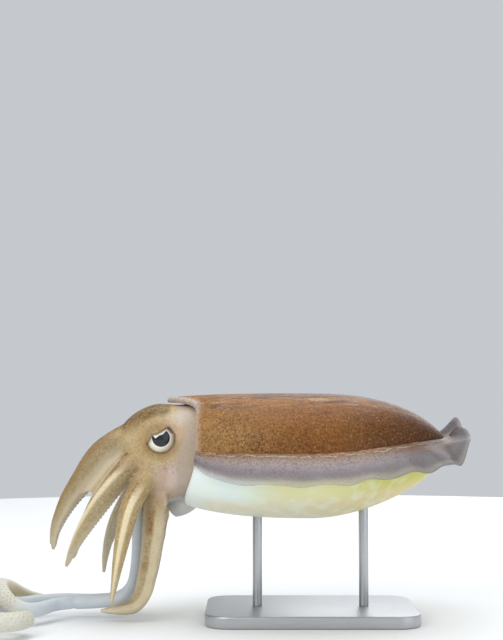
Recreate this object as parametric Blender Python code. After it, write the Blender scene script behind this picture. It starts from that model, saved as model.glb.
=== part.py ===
"""Needle cuttlefish at life size, held over a plain display stand.

Metres, +Z up. The head points to -X, the animal's left side to -Y, its back to +Z.
The origin is the centre of the stand base's underside, so the floor is z = 0.
"""
import math

import bmesh
import bpy
import numpy as np

# Gap between nodes that touch
GAP = 0.00035

# Mantle: the body behind the head
MANTLE_HALF_WIDTH = 0.0462
MANTLE_REAR_X = 0.0695
MANTLE_FRONT_REACH = 0.085
FIN_LINE_Z = 0.0825
FIN_LINE_RISE = 0.006
MANTLE_RISE = 0.0310
MANTLE_DROP = 0.0322
MANTLE_SIDES = 32
MANTLE_RINGS = 20
MARGIN_X = -0.0570
LOBE_REACH = 0.0155
VENTRAL_REACH = 0.0060
LIP = 0.0026
FRONT_WALL_DEPTH = 0.0050
BACK_POWER = 2.3
BELLY_POWER = 2.2

# Fins: a skirt round the mantle's side line, drooping at the sides
FIN_ROOT_HALF = 0.0012
FIN_EDGE_HALF = 0.00035
FIN_STEPS_ACROSS = 4
FIN_SPACE_AT_NOTCH = 0.0006
FIN_WIDTHS = ((0.0, 0.0016), (0.04, 0.0058), (0.12, 0.0098), (0.35, 0.0120), (0.52, 0.0125),
              (0.68, 0.0145), (0.82, 0.0165), (0.90, 0.0160), (0.94, 0.0148), (0.965, 0.0128),
              (0.985, 0.0096), (1.0, 0.0058))
FIN_DROPS = {
    "left": ((0.0, 0.0030), (0.08, 0.0085), (0.3, 0.0118), (0.55, 0.0112), (0.72, 0.0100),
             (0.80, 0.0095), (0.86, 0.0080), (0.90, 0.0042), (0.94, -0.0012), (0.965, -0.0045),
             (0.985, -0.0068), (1.0, -0.0078)),
    "right": ((0.0, 0.0030), (0.08, 0.0085), (0.3, 0.0118), (0.55, 0.0112), (0.72, 0.0095),
              (0.78, 0.0042), (0.84, -0.0040), (0.89, -0.0092), (0.93, -0.0100),
              (0.965, -0.0080), (1.0, -0.0056)),
}
FIN_WAVE = 0.0019
FIN_WAVES = 7

# Head: rings from a top point to a bottom point, both (x, z), with half width
HEAD_RINGS = (
    ((-0.0680, 0.1076), (-0.0638, 0.0604), 0.0276),
    ((-0.0785, 0.1080), (-0.0672, 0.0600), 0.0262),
    ((-0.0880, 0.1044), (-0.0702, 0.0592), 0.0240),
    ((-0.0958, 0.0975), (-0.0730, 0.0586), 0.0212),
    ((-0.0987, 0.0912), (-0.0788, 0.0610), 0.0160),
    ((-0.0962, 0.0842), (-0.0850, 0.0686), 0.0080),
)
NECK_X = (-0.0470, -0.0570)
NECK_INSET = 0.0040
HEAD_STEPS = 2
EYE_CENTRE = (-0.0754, 0.0172, 0.0908)
EYE_RADIUS = 0.0088
LID_BALL = 0.0104
LID_SQUASH = 0.96
OPENING_RADIUS = 0.0066

# Arms: (x, y, z) along each arm's middle, for the animal's right side (+Y), then depth and width
# The left arms have their own points, mirrored below, because the two sides don't hang quite alike.
ARM_PATHS = {
    1: ((-0.0860, 0.0068, 0.0950), (-0.0955, 0.0066, 0.0895), (-0.1052, 0.0062, 0.0820),
        (-0.1146, 0.0058, 0.0705), (-0.1238, 0.0054, 0.0580), (-0.1302, 0.0050, 0.0465),
        (-0.1326, 0.0046, 0.0365)),
    2: ((-0.0830, 0.0125, 0.0865), (-0.0910, 0.0150, 0.0795), (-0.1005, 0.0158, 0.0695),
        (-0.1085, 0.0155, 0.0590), (-0.1152, 0.0142, 0.0475), (-0.1200, 0.0126, 0.0370),
        (-0.1222, 0.0114, 0.0285)),
    3: ((-0.0790, 0.0120, 0.0760), (-0.0860, 0.0198, 0.0685), (-0.0950, 0.0240, 0.0580),
        (-0.1016, 0.0250, 0.0470), (-0.1056, 0.0244, 0.0360), (-0.1072, 0.0226, 0.0270),
        (-0.1076, 0.0208, 0.0200)),
    4: ((-0.0790, 0.0080, 0.0720), (-0.0786, 0.0116, 0.0620), (-0.0792, 0.0134, 0.0500),
        (-0.0806, 0.0142, 0.0380), (-0.0824, 0.0146, 0.0260), (-0.0848, 0.0146, 0.0155),
        (-0.0890, 0.0144, 0.0088), (-0.0950, 0.0140, 0.0066), (-0.1020, 0.0132, 0.0058)),
}
LEFT_PATHS = {
    1: ((-0.0860, 0.0068, 0.0950), (-0.0955, 0.0066, 0.0895), (-0.1048, 0.0062, 0.0820),
        (-0.1136, 0.0060, 0.0705), (-0.1226, 0.0056, 0.0580), (-0.1284, 0.0052, 0.0455),
        (-0.1300, 0.0048, 0.0350)),
    2: ((-0.0830, 0.0125, 0.0860), (-0.0902, 0.0154, 0.0785), (-0.0983, 0.0164, 0.0680),
        (-0.1060, 0.0164, 0.0572), (-0.1130, 0.0154, 0.0462), (-0.1186, 0.0138, 0.0360),
        (-0.1222, 0.0124, 0.0275)),
    3: ((-0.0790, 0.0120, 0.0760), (-0.0840, 0.0195, 0.0690), (-0.0893, 0.0232, 0.0580),
        (-0.0925, 0.0242, 0.0450), (-0.0950, 0.0234, 0.0325), (-0.0970, 0.0218, 0.0210),
        (-0.0988, 0.0204, 0.0105)),
    4: ((-0.0790, 0.0080, 0.0720), (-0.0782, 0.0116, 0.0620), (-0.0787, 0.0134, 0.0500),
        (-0.0798, 0.0142, 0.0380), (-0.0814, 0.0146, 0.0260), (-0.0838, 0.0146, 0.0150),
        (-0.0882, 0.0144, 0.0084), (-0.0955, 0.0140, 0.0064), (-0.1045, 0.0130, 0.0056)),
}
# Half depth, half width along each arm, from root to tip
ARM_SECTIONS = {
    1: ((0.0, 0.0062, 0.0052), (0.35, 0.0076, 0.0050), (0.62, 0.0054, 0.0040),
        (0.86, 0.0028, 0.0023), (1.0, 0.0008, 0.0007)),
    2: ((0.0, 0.0056, 0.0052), (0.35, 0.0063, 0.0052), (0.62, 0.0047, 0.0040),
        (0.86, 0.0025, 0.0021), (1.0, 0.0008, 0.0007)),
    3: ((0.0, 0.0052, 0.0056), (0.3, 0.0048, 0.0052), (0.58, 0.0036, 0.0038),
        (0.82, 0.0022, 0.0022), (1.0, 0.0008, 0.0007)),
    4: ((0.0, 0.0066, 0.0058), (0.25, 0.0062, 0.0057), (0.5, 0.0050, 0.0050),
        (0.70, 0.0044, 0.0046), (0.84, 0.0026, 0.0034), (1.0, 0.0009, 0.0008)),
}
ARM_SIDES = 12
ARM_RINGS = 15
KEEL = {1: 0.10, 2: 0.16, 3: 0.22, 4: 0.34}
ARM_4_SPLIT = 0.60
SUCKER_PAIRS = 9
SUCKER_FACETS = 5

# The line that the arms' sucker faces look at: from the mouth down to the floor
CORE_TOP = (-0.0880, 0.0, 0.0770)
CORE_FOOT = (-0.0960, 0.0, 0.0080)

# Tentacles: (x, y, z) along the middle, from the mouth to the club's tip
TENTACLE_HALF = 0.0034
CLUB_HALF = 0.0041
TENTACLE_SIDES = 11
TENTACLE_RIGHT = (
    (-0.0862, 0.0050, 0.0725), (-0.0872, 0.0058, 0.0580), (-0.0878, 0.0060, 0.0420),
    (-0.0888, 0.0058, 0.0260), (-0.0915, 0.0055, 0.0150), (-0.0975, 0.0052, 0.0096),
    (-0.1070, 0.0050, 0.0082), (-0.1170, 0.0056, 0.0080), (-0.1260, 0.0068, 0.0080),
    (-0.1355, 0.0046, 0.0078), (-0.1440, -0.0010, 0.0076), (-0.1512, -0.0080, 0.0076),
    (-0.1562, -0.0150, 0.0076), (-0.1585, -0.0225, 0.0076), (-0.1583, -0.0310, 0.0076),
)
SPIRAL_CENTRE = (-0.1432, -0.0488, 0.0082)
SPIRAL_START_RADIUS = 0.0125
SPIRAL_END_RADIUS = 0.0062
SPIRAL_START_DEG = 150.0
SPIRAL_TURN_DEG = 330.0
SPIRAL_POINTS = 9
TENTACLE_LEFT = (
    (-0.0862, -0.0050, 0.0725), (-0.0868, -0.0056, 0.0580), (-0.0872, -0.0058, 0.0420),
    (-0.0880, -0.0058, 0.0270), (-0.0905, -0.0055, 0.0160), (-0.0960, -0.0050, 0.0100),
    (-0.1050, -0.0042, 0.0086), (-0.1140, -0.0038, 0.0080), (-0.1220, -0.0048, 0.0080),
    (-0.1284, -0.0088, 0.0078), (-0.1318, -0.0150, 0.0076), (-0.1350, -0.0212, 0.0076),
    (-0.1405, -0.0256, 0.0082), (-0.1468, -0.0262, 0.0110), (-0.1518, -0.0226, 0.0150),
    (-0.1545, -0.0160, 0.0168), (-0.1550, -0.0085, 0.0166), (-0.1530, -0.0010, 0.0146),
    (-0.1490, 0.0058, 0.0112), (-0.1438, 0.0108, 0.0088), (-0.1380, 0.0134, 0.0082),
)
RIGHT_SPLITS = (0.255, 0.47, 0.66, 0.84)
LEFT_SPLITS = (0.30, 0.50, 0.69, 0.845)
CLUB_ROWS = 3
CLUB_SUCKERS = 10

# Funnel: under the neck, open at its front end
FUNNEL_BACK = (-0.0640, 0.0, 0.0590)
FUNNEL_TIP = (-0.0712, 0.0, 0.0535)
FUNNEL_HALF_WIDTHS = (0.0086, 0.0046)
FUNNEL_HALF_HEIGHTS = (0.0066, 0.0040)
FUNNEL_BORE = 0.0028
FUNNEL_BORE_DEPTH = 0.0050

# Mouth: a low dome with the beak's tip, in the middle of the arms
MOUTH_CENTRE = (-0.0925, 0.0, 0.0785)
MOUTH_RADIUS = 0.0044
BEAK_RADIUS = 0.0016
BEAK_REACH = 0.0030

# Stand
BASE_LENGTH = 0.106
BASE_WIDTH = 0.066
BASE_THICKNESS = 0.006
BASE_CORNER = 0.012
ROD_RADIUS = 0.0024
ROD_X = (-0.027, 0.027)
ROD_SOCKET_DEPTH = 0.008
ROD_SIDES = 16

# Each material's linear colour, roughness and metallic value
COLOURS = {
    "mantle_skin": ((0.36, 0.17, 0.06), 0.45, 0.0),
    "fin_membrane": ((0.42, 0.44, 0.50), 0.4, 0.0),
    "head_skin": ((0.42, 0.30, 0.16), 0.45, 0.0),
    "arm_skin": ((0.50, 0.36, 0.20), 0.45, 0.0),
    "tentacle_skin": ((0.66, 0.70, 0.72), 0.4, 0.0),
    "funnel_skin": ((0.55, 0.52, 0.50), 0.4, 0.0),
    "mouth_skin": ((0.30, 0.17, 0.12), 0.4, 0.0),
    "eye": ((0.05, 0.06, 0.08), 0.1, 0.0),
    "stand_metal": ((0.48, 0.49, 0.50), 0.35, 0.9),
}


def clear_scene():
    for item in list(bpy.data.objects):
        bpy.data.objects.remove(item)


def new_collection(name):
    group = bpy.data.collections.new(name)
    bpy.context.scene.collection.children.link(group)
    return group


def material(name):
    made = bpy.data.materials.get(name)
    if made is None:
        colour, roughness, metallic = COLOURS[name]
        made = bpy.data.materials.new(name)
        made.use_nodes = True
        shader = made.node_tree.nodes["Principled BSDF"]
        shader.inputs["Base Color"].default_value = (*colour, 1.0)
        shader.inputs["Roughness"].default_value = roughness
        shader.inputs["Metallic"].default_value = metallic
        made.diffuse_color = (*colour, 1.0)
    return made


def smooth_step(value):
    t = min(1.0, max(0.0, value))
    return t * t * (3 - 2 * t)


def profile(rows, at):
    """The values of a table whose first column is the place, joined by a smooth curve."""
    table = np.array(rows, float)
    places, values = table[:, 0], table[:, 1:]
    slopes = np.gradient(values, places, axis=0)
    at = min(max(at, places[0]), places[-1])
    i = min(int(np.searchsorted(places, at, side="right")) - 1, len(places) - 2)
    span = places[i + 1] - places[i]
    t = (at - places[i]) / span
    h00, h10 = 2 * t**3 - 3 * t**2 + 1, t**3 - 2 * t**2 + t
    h01, h11 = 3 * t**2 - 2 * t**3, t**3 - t**2
    found = h00 * values[i] + h10 * span * slopes[i] + h01 * values[i + 1] + h11 * span * slopes[i + 1]
    return found if len(found) > 1 else float(found[0])


def smooth_path(points, per_span=8):
    """A dense Catmull-Rom curve through the points, as an array, evenly spaced along its length."""
    given = np.array(points, float)
    padded = np.vstack([2 * given[0] - given[1], given, 2 * given[-1] - given[-2]])
    dense = []
    for i in range(len(given) - 1):
        p0, p1, p2, p3 = padded[i:i + 4]
        for t in np.linspace(0, 1, per_span, endpoint=False):
            dense.append(0.5 * (2 * p1 + (p2 - p0) * t + (2 * p0 - 5 * p1 + 4 * p2 - p3) * t**2
                                + (3 * p1 - p0 - 3 * p2 + p3) * t**3))
    dense.append(given[-1])
    return np.array(dense)


class Path:
    """A curve that is read by the share of its length, from 0 to 1."""

    def __init__(self, points):
        self.points = smooth_path(points)
        steps = np.linalg.norm(np.diff(self.points, axis=0), axis=1)
        self.length = float(steps.sum())
        self.shares = np.concatenate([[0.0], np.cumsum(steps)]) / self.length

    def at(self, share):
        return np.array([np.interp(share, self.shares, self.points[:, k]) for k in range(3)])

    def direction(self, share, reach=0.02):
        ahead = self.at(min(1.0, share + reach)) - self.at(max(0.0, share - reach))
        return ahead / np.linalg.norm(ahead)


def mesh_object(name, verts, faces, group, skin):
    mesh = bpy.data.meshes.new(name)
    mesh.from_pydata([tuple(v) for v in verts], [], faces)
    mesh.validate()
    shell = bmesh.new()
    shell.from_mesh(mesh)
    bmesh.ops.recalc_face_normals(shell, faces=shell.faces)
    shell.to_mesh(mesh)
    shell.free()
    made = bpy.data.objects.new(name, mesh)
    group.objects.link(made)
    made.data.materials.append(material(skin))
    return made


def loft(rings):
    """Vertices and faces of a closed tube through rings with the same number of points, with flat ends."""
    count = len(rings[0])
    verts = [point for ring in rings for point in ring]
    faces = []
    for i in range(len(rings) - 1):
        for j in range(count):
            k = (j + 1) % count
            faces.append((i * count + j, i * count + k, (i + 1) * count + k, (i + 1) * count + j))
    faces.append(tuple(range(count)))
    faces.append(tuple((len(rings) - 1) * count + j for j in reversed(range(count))))
    return verts, faces


def faults(mesh, before):
    """Whether a Boolean lost or turned the body, then how many edges don't lie between exactly two faces."""
    shell = bmesh.new()
    shell.from_mesh(mesh)
    edges = sum(1 for edge in shell.edges if len(edge.link_faces) != 2)
    bmesh.ops.triangulate(shell, faces=shell.faces)
    lost = shell.calc_volume(signed=True) < 0.3 * before
    shell.free()
    return lost, edges


def volume(mesh):
    shell = bmesh.new()
    shell.from_mesh(mesh)
    bmesh.ops.triangulate(shell, faces=shell.faces)
    found = shell.calc_volume(signed=True)
    shell.free()
    return found


def applied(made, operation, other=None, group=None):
    """The object after one Boolean. The second solver is used where the first leaves an open edge."""
    before = volume(made.data)
    found = []
    for solver in ("EXACT", "MANIFOLD"):
        cut = made.modifiers.new("join", "BOOLEAN")
        cut.operation = operation
        cut.solver = solver
        if group is None:
            cut.object = other
        else:
            cut.operand_type = "COLLECTION"
            cut.collection = group
        graph = bpy.context.evaluated_depsgraph_get()
        mesh = bpy.data.meshes.new_from_object(made.evaluated_get(graph))
        made.modifiers.clear()
        found.append((*faults(mesh, before), len(found), mesh))
        if found[-1][:2] == (False, 0):
            break
    made.data = min(found, key=lambda entry: entry[:3])[3]
    return made


def keep_largest(made):
    """Drops loose scraps and inner shells, so that the node is one closed surface."""
    shell = bmesh.new()
    shell.from_mesh(made.data)
    left, groups = set(shell.verts), []
    while left:
        seen, edge = set(), [left.pop()]
        while edge:
            vert = edge.pop()
            seen.add(vert)
            for link in vert.link_edges:
                other = link.other_vert(vert)
                if other in left:
                    left.discard(other)
                    edge.append(other)
        groups.append(seen)
    groups.sort(key=len, reverse=True)
    loose = [vert for seen in groups[1:] for vert in seen]
    bmesh.ops.delete(shell, geom=loose, context="VERTS")
    shell.to_mesh(made.data)
    shell.free()
    return made


def remove(made):
    bpy.data.objects.remove(made)


def grown_copy(made, name, group, amount=GAP):
    """A cutter: the same shape with each point moved outwards by the amount."""
    shell = bmesh.new()
    shell.from_mesh(made.data)
    bmesh.ops.triangulate(shell, faces=shell.faces)
    shell.normal_update()
    moves = [(vert, vert.normal * amount) for vert in shell.verts]
    for vert, move in moves:
        vert.co += move
    mesh = bpy.data.meshes.new(name)
    shell.to_mesh(mesh)
    shell.free()
    cutter = bpy.data.objects.new(name, mesh)
    group.objects.link(cutter)
    bpy.context.view_layer.update()
    return cutter


# Mantle

def plan_share(x):
    """Half width at x as a share of the widest, with a round tail and an open front."""
    if x >= 0:
        return max(0.0, 1 - min(1.0, x / MANTLE_REAR_X)**1.9)**(2 / 3)
    return (1 - min(1.0, -x / MANTLE_FRONT_REACH)**2.4)**(2 / 3)


def fin_line(x):
    return FIN_LINE_Z + FIN_LINE_RISE * smooth_step(x / MANTLE_REAR_X)


def mantle_point(x, angle, inset=0.0):
    """A point of the mantle's section at x, drawn in by inset. The angle is 0 at the right, 90 degrees on top."""
    share = plan_share(x)
    half = MANTLE_HALF_WIDTH * share - inset
    side, up = math.cos(angle), math.sin(angle)
    if up >= 0:
        tall = MANTLE_RISE * share**(1.1 if x > 0 else 0.10)
        power = BACK_POWER
    else:
        tall = MANTLE_DROP * share**(0.7 if x > 0 else 0.5)
        power = BELLY_POWER
    tall -= inset
    y = half * math.copysign(abs(side)**(2 / power), side)
    z = tall * math.copysign(abs(up)**(2 / power), up)
    return np.array([x, y, fin_line(x) + z])


def margin_x(angle):
    """Where the mantle's front edge lies: a rounded lobe over the head, and a lower lip that reaches forward."""
    up = math.sin(angle)
    if up < 0:
        return MARGIN_X - VENTRAL_REACH * smooth_step(-up)
    across = abs(math.cos(angle))**(2 / BACK_POWER)
    return MARGIN_X - LOBE_REACH * (1 - smooth_step((across - 0.05) / 0.67)) * smooth_step(up / 0.4)


def mantle_angles():
    """The ring's angles, closer together on the back and belly than at the sides."""
    turns = [2 * math.pi * j / MANTLE_SIDES for j in range(MANTLE_SIDES)]
    return [turn + 0.15 * math.sin(2 * turn) for turn in turns]


def ring_share(i):
    return 1 - (1 - i / MANTLE_RINGS)**1.75


def mantle_rings():
    outer = []
    for i in range(MANTLE_RINGS):
        ring = []
        for angle in mantle_angles():
            start = margin_x(angle)
            ring.append(mantle_point(start + (MANTLE_REAR_X - start) * ring_share(i), angle))
        outer.append(ring)
    return outer


def mantle_solid(name, group):
    """The closed mantle. Its front wall stands a little behind the rolled edge."""
    wall, lip = [], []
    for angle in mantle_angles():
        start = margin_x(angle)
        wall.append(mantle_point(start + FRONT_WALL_DEPTH, angle, LIP))
        lip.append(mantle_point(start + 0.0004, angle, LIP * 0.75))
    rim = [mantle_point(margin_x(a) - 0.0006, a, LIP * 0.35) for a in mantle_angles()]
    rings = [wall, lip, rim] + mantle_rings()
    verts, faces = loft(rings)
    last = len(rings) - 1
    faces.pop()
    verts.append(np.array([MANTLE_REAR_X - 0.0001, 0.0, fin_line(MANTLE_REAR_X)]))
    for j in range(MANTLE_SIDES):
        k = (j + 1) % MANTLE_SIDES
        faces.append((last * MANTLE_SIDES + j, last * MANTLE_SIDES + k, len(verts) - 1))
    return mesh_object(name, verts, faces, group, "mantle_skin")


def build_mantle(group, cutters, head_cutter):
    made = mantle_solid("mantle", group)
    applied(made, "DIFFERENCE", head_cutter)
    for number, x in enumerate(ROD_X):
        drill = rod_solid(f"rod_hole_{number}", x, ROD_RADIUS + GAP, BASE_THICKNESS,
                          rod_top(x) + GAP, cutters)
        applied(made, "DIFFERENCE", drill)
    return keep_largest(made)


# Fins

def fin_stations():
    """Places along the mantle's side line, shared with its rings, from behind the front edge to the tail."""
    start = margin_x(0.0)
    places = [start + (MANTLE_REAR_X - start) * ring_share(i) for i in range(MANTLE_RINGS)]
    places.append(MANTLE_REAR_X - 0.0001)
    return places


def fin_frame(places):
    """The root points of the right fin, its outward directions and the share of its length at each."""
    root = np.array([mantle_point(x, 0.0) for x in places])
    root[-1][1] = 0.0012
    root[:, 1] = np.maximum(root[:, 1], 0.0012)
    along = np.gradient(root[:, :2], axis=0)
    out = np.stack([-along[:, 1], along[:, 0]], axis=1)
    out /= np.linalg.norm(out, axis=1)[:, None]
    out[-1] = (1.0, 0.0)
    steps = np.linalg.norm(np.diff(root[:, :2], axis=0), axis=1)
    shares = np.concatenate([[0], np.cumsum(steps)]) / steps.sum()
    return root, out, shares


def build_fin(name, side, group):
    places = fin_stations()
    root, out, shares = fin_frame(places)
    finer = []
    for i in range(len(places) - 1):
        finer += [(i, 0.0), (i, 0.5)]
    finer.append((len(places) - 2, 1.0))
    top, bottom = [], []
    for i, t in finer:
        share = shares[i] * (1 - t) + shares[i + 1] * t
        base = root[i] * (1 - t) + root[i + 1] * t
        away = out[i] * (1 - t) + out[i + 1] * t
        away /= np.linalg.norm(away)
        width = profile(FIN_WIDTHS, share)
        drop = profile(FIN_DROPS[name.split("_")[1]], share)
        power = 1.3 - 0.5 * smooth_step((share - 0.92) / 0.08)
        calm = 1 - smooth_step((share - 0.94) / 0.05)
        row_top, row_bottom = [], []
        for k in range(FIN_STEPS_ACROSS + 1):
            r = k / FIN_STEPS_ACROSS
            reach = GAP + width * r
            wave = FIN_WAVE * r * r * math.sin(FIN_WAVES * 2 * math.pi * share**1.3) * (0.12 + share**2)
            z = base[2] - drop * r**power + wave * calm
            x = base[0] + away[0] * reach
            y = max(base[1] + away[1] * reach, FIN_SPACE_AT_NOTCH)
            slope = power * drop * max(r, 0.05)**(power - 1) / width
            half = (FIN_ROOT_HALF * (1 - r) + FIN_EDGE_HALF * r) * min(math.hypot(1.0, slope), 1.9)
            row_top.append((x, side * y, z + half))
            row_bottom.append((x, side * y, z - half))
        top.append(row_top)
        bottom.append(row_bottom)
    columns = FIN_STEPS_ACROSS + 1
    verts = [p for row in top for p in row] + [p for row in bottom for p in row]
    under = len(top) * columns
    faces = []
    for i in range(len(top) - 1):
        for k in range(columns - 1):
            a, b = i * columns + k, i * columns + k + 1
            c, d = (i + 1) * columns + k + 1, (i + 1) * columns + k
            faces += [(a, b, c), (a, c, d)]
            faces += [(under + a, under + c, under + b), (under + a, under + d, under + c)]
        for k in (0, columns - 1):
            a, d = i * columns + k, (i + 1) * columns + k
            faces.append((a, d, under + d, under + a))
    for i in (0, len(top) - 1):
        for k in range(columns - 1):
            a, b = i * columns + k, i * columns + k + 1
            faces.append((a, b, under + b, under + a))
    return mesh_object(name, verts, faces, group, "fin_membrane")


# Head

def head_ring(top, bottom, half):
    top, bottom = np.array([top[0], 0.0, top[1]]), np.array([bottom[0], 0.0, bottom[1]])
    middle, up = (top + bottom) / 2, (top - bottom) / 2
    ring = []
    for angle in mantle_angles():
        side, rise = math.cos(angle), math.sin(angle)
        y = half * math.copysign(abs(side)**(2 / BACK_POWER), side)
        ring.append(middle + up * math.copysign(abs(rise)**(2 / BACK_POWER), rise) + np.array([0.0, y, 0.0]))
    return np.array(ring)


def head_solid(name, group):
    """The head with its neck, which reaches into the mantle."""
    keys = [np.array([mantle_point(x, a, NECK_INSET) for a in mantle_angles()]) for x in NECK_X]
    keys += [head_ring(top, bottom, half) for top, bottom, half in HEAD_RINGS]
    padded = [2 * keys[0] - keys[1], *keys, 2 * keys[-1] - keys[-2]]
    rings = []
    for i in range(len(keys) - 1):
        p0, p1, p2, p3 = padded[i:i + 4]
        steps = 1 if i == 0 else HEAD_STEPS
        for t in np.linspace(0, 1, steps, endpoint=False):
            rings.append(0.5 * (2 * p1 + (p2 - p0) * t + (2 * p0 - 5 * p1 + 4 * p2 - p3) * t**2
                                + (3 * p1 - p0 - 3 * p2 + p3) * t**3))
    rings.append(keys[-1])
    verts, faces = loft(rings)
    return mesh_object(name, verts, faces, group, "head_skin")


def build_head(group, cutters):
    """The head with its lids and eye sockets, and a grown cutter of the bare head."""
    made = head_solid("head", group)
    cutter = grown_copy(made, "head_cutter", cutters, GAP * 1.4)
    pieces = new_collection("lids")
    for side in (1, -1):
        lid = eye_solid(f"lid_{side}", side, LID_BALL, pieces)
        lid.scale = (1.0, 1.0, LID_SQUASH)
    bpy.context.view_layer.update()
    applied(made, "UNION", group=pieces)
    for piece in list(pieces.objects):
        remove(piece)
    bpy.data.collections.remove(pieces)
    for side in (1, -1):
        applied(made, "DIFFERENCE", eye_solid(f"eye_socket_{side}", side, EYE_RADIUS + GAP, cutters))
        applied(made, "DIFFERENCE", opening_solid(f"eye_opening_{side}", side, cutters))
    keep_largest(made)
    return cutter


def opening_solid(name, side, group):
    """A widening plug that opens the lids over the eye's middle."""
    mesh = bpy.data.meshes.new(name)
    plug = bmesh.new()
    bmesh.ops.create_cone(plug, cap_ends=True, segments=22, radius1=OPENING_RADIUS,
                          radius2=OPENING_RADIUS * 1.22, depth=0.010)
    plug.to_mesh(mesh)
    plug.free()
    made = bpy.data.objects.new(name, mesh)
    made.location = (EYE_CENTRE[0], side * (EYE_CENTRE[1] + 0.0095), EYE_CENTRE[2])
    made.rotation_euler = (-side * math.pi / 2, 0, 0)
    group.objects.link(made)
    bpy.context.view_layer.update()
    return made


def eye_solid(name, side, radius, group):
    mesh = bpy.data.meshes.new(name)
    ball = bmesh.new()
    bmesh.ops.create_uvsphere(ball, u_segments=16, v_segments=10, radius=radius)
    ball.to_mesh(mesh)
    ball.free()
    made = bpy.data.objects.new(name, mesh)
    made.location = (EYE_CENTRE[0], side * EYE_CENTRE[1], EYE_CENTRE[2])
    made.rotation_euler = (math.pi / 2, 0, 0)
    group.objects.link(made)
    made.data.materials.append(material("eye"))
    made.data.shade_smooth()
    bpy.context.view_layer.update()
    return made


# Funnel

def build_funnel(group, head_cutter, cutters):
    back, tip = np.array(FUNNEL_BACK), np.array(FUNNEL_TIP)
    ahead = (tip - back) / np.linalg.norm(tip - back)
    up = np.cross(ahead, (0.0, 1.0, 0.0))
    up = up if up[2] > 0 else -up
    rings = []
    for share in (0.0, 0.35, 0.7, 0.92, 1.0):
        wide = FUNNEL_HALF_WIDTHS[0] * (1 - share) + FUNNEL_HALF_WIDTHS[1] * share
        tall = FUNNEL_HALF_HEIGHTS[0] * (1 - share) + FUNNEL_HALF_HEIGHTS[1] * share
        swell = 1 + 0.10 * math.sin(math.pi * share) - (0.12 if share == 1.0 else 0.0)
        centre = back * (1 - share) + tip * share
        rings.append([centre + up * tall * swell * math.sin(2 * math.pi * j / 20)
                      + np.array([0.0, wide * swell * math.cos(2 * math.pi * j / 20), 0.0])
                      for j in range(20)])
    verts, faces = loft(rings)
    made = mesh_object("funnel", verts, faces, group, "funnel_skin")
    start = tip - ahead * FUNNEL_BORE_DEPTH
    bore = []
    for share in (0.0, 0.5, 1.0):
        centre = start + (tip + ahead * 0.002 - start) * share
        radius = FUNNEL_BORE * (0.75 + 0.25 * share)
        bore.append([centre + up * radius * math.sin(2 * math.pi * j / 14)
                     + np.array([0.0, radius * math.cos(2 * math.pi * j / 14), 0.0])
                     for j in range(14)])
    verts, faces = loft(bore)
    cutter = mesh_object("funnel_bore", verts, faces, cutters, "funnel_skin")
    mantle = mantle_solid("mantle_for_funnel", cutters)
    for tool in (head_cutter, grown_copy(mantle, "mantle_cutter", cutters), cutter):
        applied(made, "DIFFERENCE", tool)
    return keep_largest(made)


def build_mouth(group, head_cutter):
    centre = np.array(MOUTH_CENTRE)
    ahead = np.array(CORE_FOOT) - np.array(CORE_TOP)
    ahead = ahead / np.linalg.norm(ahead) + np.array([-1.6, 0.0, 0.0])
    ahead /= np.linalg.norm(ahead)
    up = np.cross((0.0, 1.0, 0.0), ahead)
    rings = []
    for degrees in (-50, -20, 10, 36, 60, 68):
        angle = math.radians(degrees)
        rings.append((MOUTH_RADIUS * math.cos(angle), MOUTH_RADIUS * math.sin(angle)))
    top = rings[-1][1]
    rings += [(BEAK_RADIUS * 0.9, top + BEAK_REACH * 0.35), (BEAK_RADIUS * 0.35, top + BEAK_REACH * 0.8)]
    solid = [[centre + ahead * along + up * wide * math.sin(2 * math.pi * j / 14)
              + np.array([0.0, wide * math.cos(2 * math.pi * j / 14), 0.0]) for j in range(14)]
             for wide, along in rings]
    verts, faces = loft(solid)
    made = mesh_object("mouth", verts, faces, group, "mouth_skin")
    applied(made, "DIFFERENCE", head_cutter)
    return keep_largest(made)


# Arms and tentacles

def core_point(z):
    top, foot = np.array(CORE_TOP), np.array(CORE_FOOT)
    share = min(1.0, max(0.0, (top[2] - z) / (top[2] - foot[2])))
    return top + (foot - top) * share


def limb_frame(path, share, outer_face=None):
    """The middle, the sucker side's direction and the side direction at a share of the path."""
    middle, ahead = path.at(share), path.direction(share)
    towards = core_point(middle[2]) - middle if outer_face is None else outer_face(middle, share)
    face = towards - ahead * float(np.dot(towards, ahead))
    face /= np.linalg.norm(face)
    return middle, face, np.cross(ahead, face)


def limb_ring(path, share, deep, wide, keel, sides, outer_face=None):
    middle, face, across = limb_frame(path, share, outer_face)
    ring = []
    for j in range(sides):
        angle = 2 * math.pi * j / sides
        towards = math.cos(angle)
        reach = deep * (0.82 if towards > 0 else 1.0)
        if keel and j == sides // 2:
            reach *= 1 + keel
        ring.append(middle + face * reach * towards + across * wide * math.sin(angle))
    return ring


def add_sucker(number, centre, out, radius, group):
    """A short cup on the surface: wider at its rim, its root sunk into the limb."""
    mesh = bpy.data.meshes.new(f"sucker_{number}")
    cup = bmesh.new()
    bmesh.ops.create_cone(cup, cap_ends=True, segments=SUCKER_FACETS, radius1=radius * 0.75,
                          radius2=radius, depth=radius * 2.2)
    cup.to_mesh(mesh)
    cup.free()
    made = bpy.data.objects.new(f"sucker_{number}", mesh)
    out = out / np.linalg.norm(out)
    turn = np.array([0.0, 0.0, 1.0])
    axis = np.cross(turn, out)
    angle = math.acos(max(-1.0, min(1.0, float(out[2]))))
    length = np.linalg.norm(axis)
    axis = axis / length if length > 1e-6 else np.array([1.0, 0.0, 0.0])
    made.rotation_mode = "AXIS_ANGLE"
    made.rotation_axis_angle = (angle, *axis)
    made.location = tuple(centre - out * radius * 0.25)
    group.objects.link(made)


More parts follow.
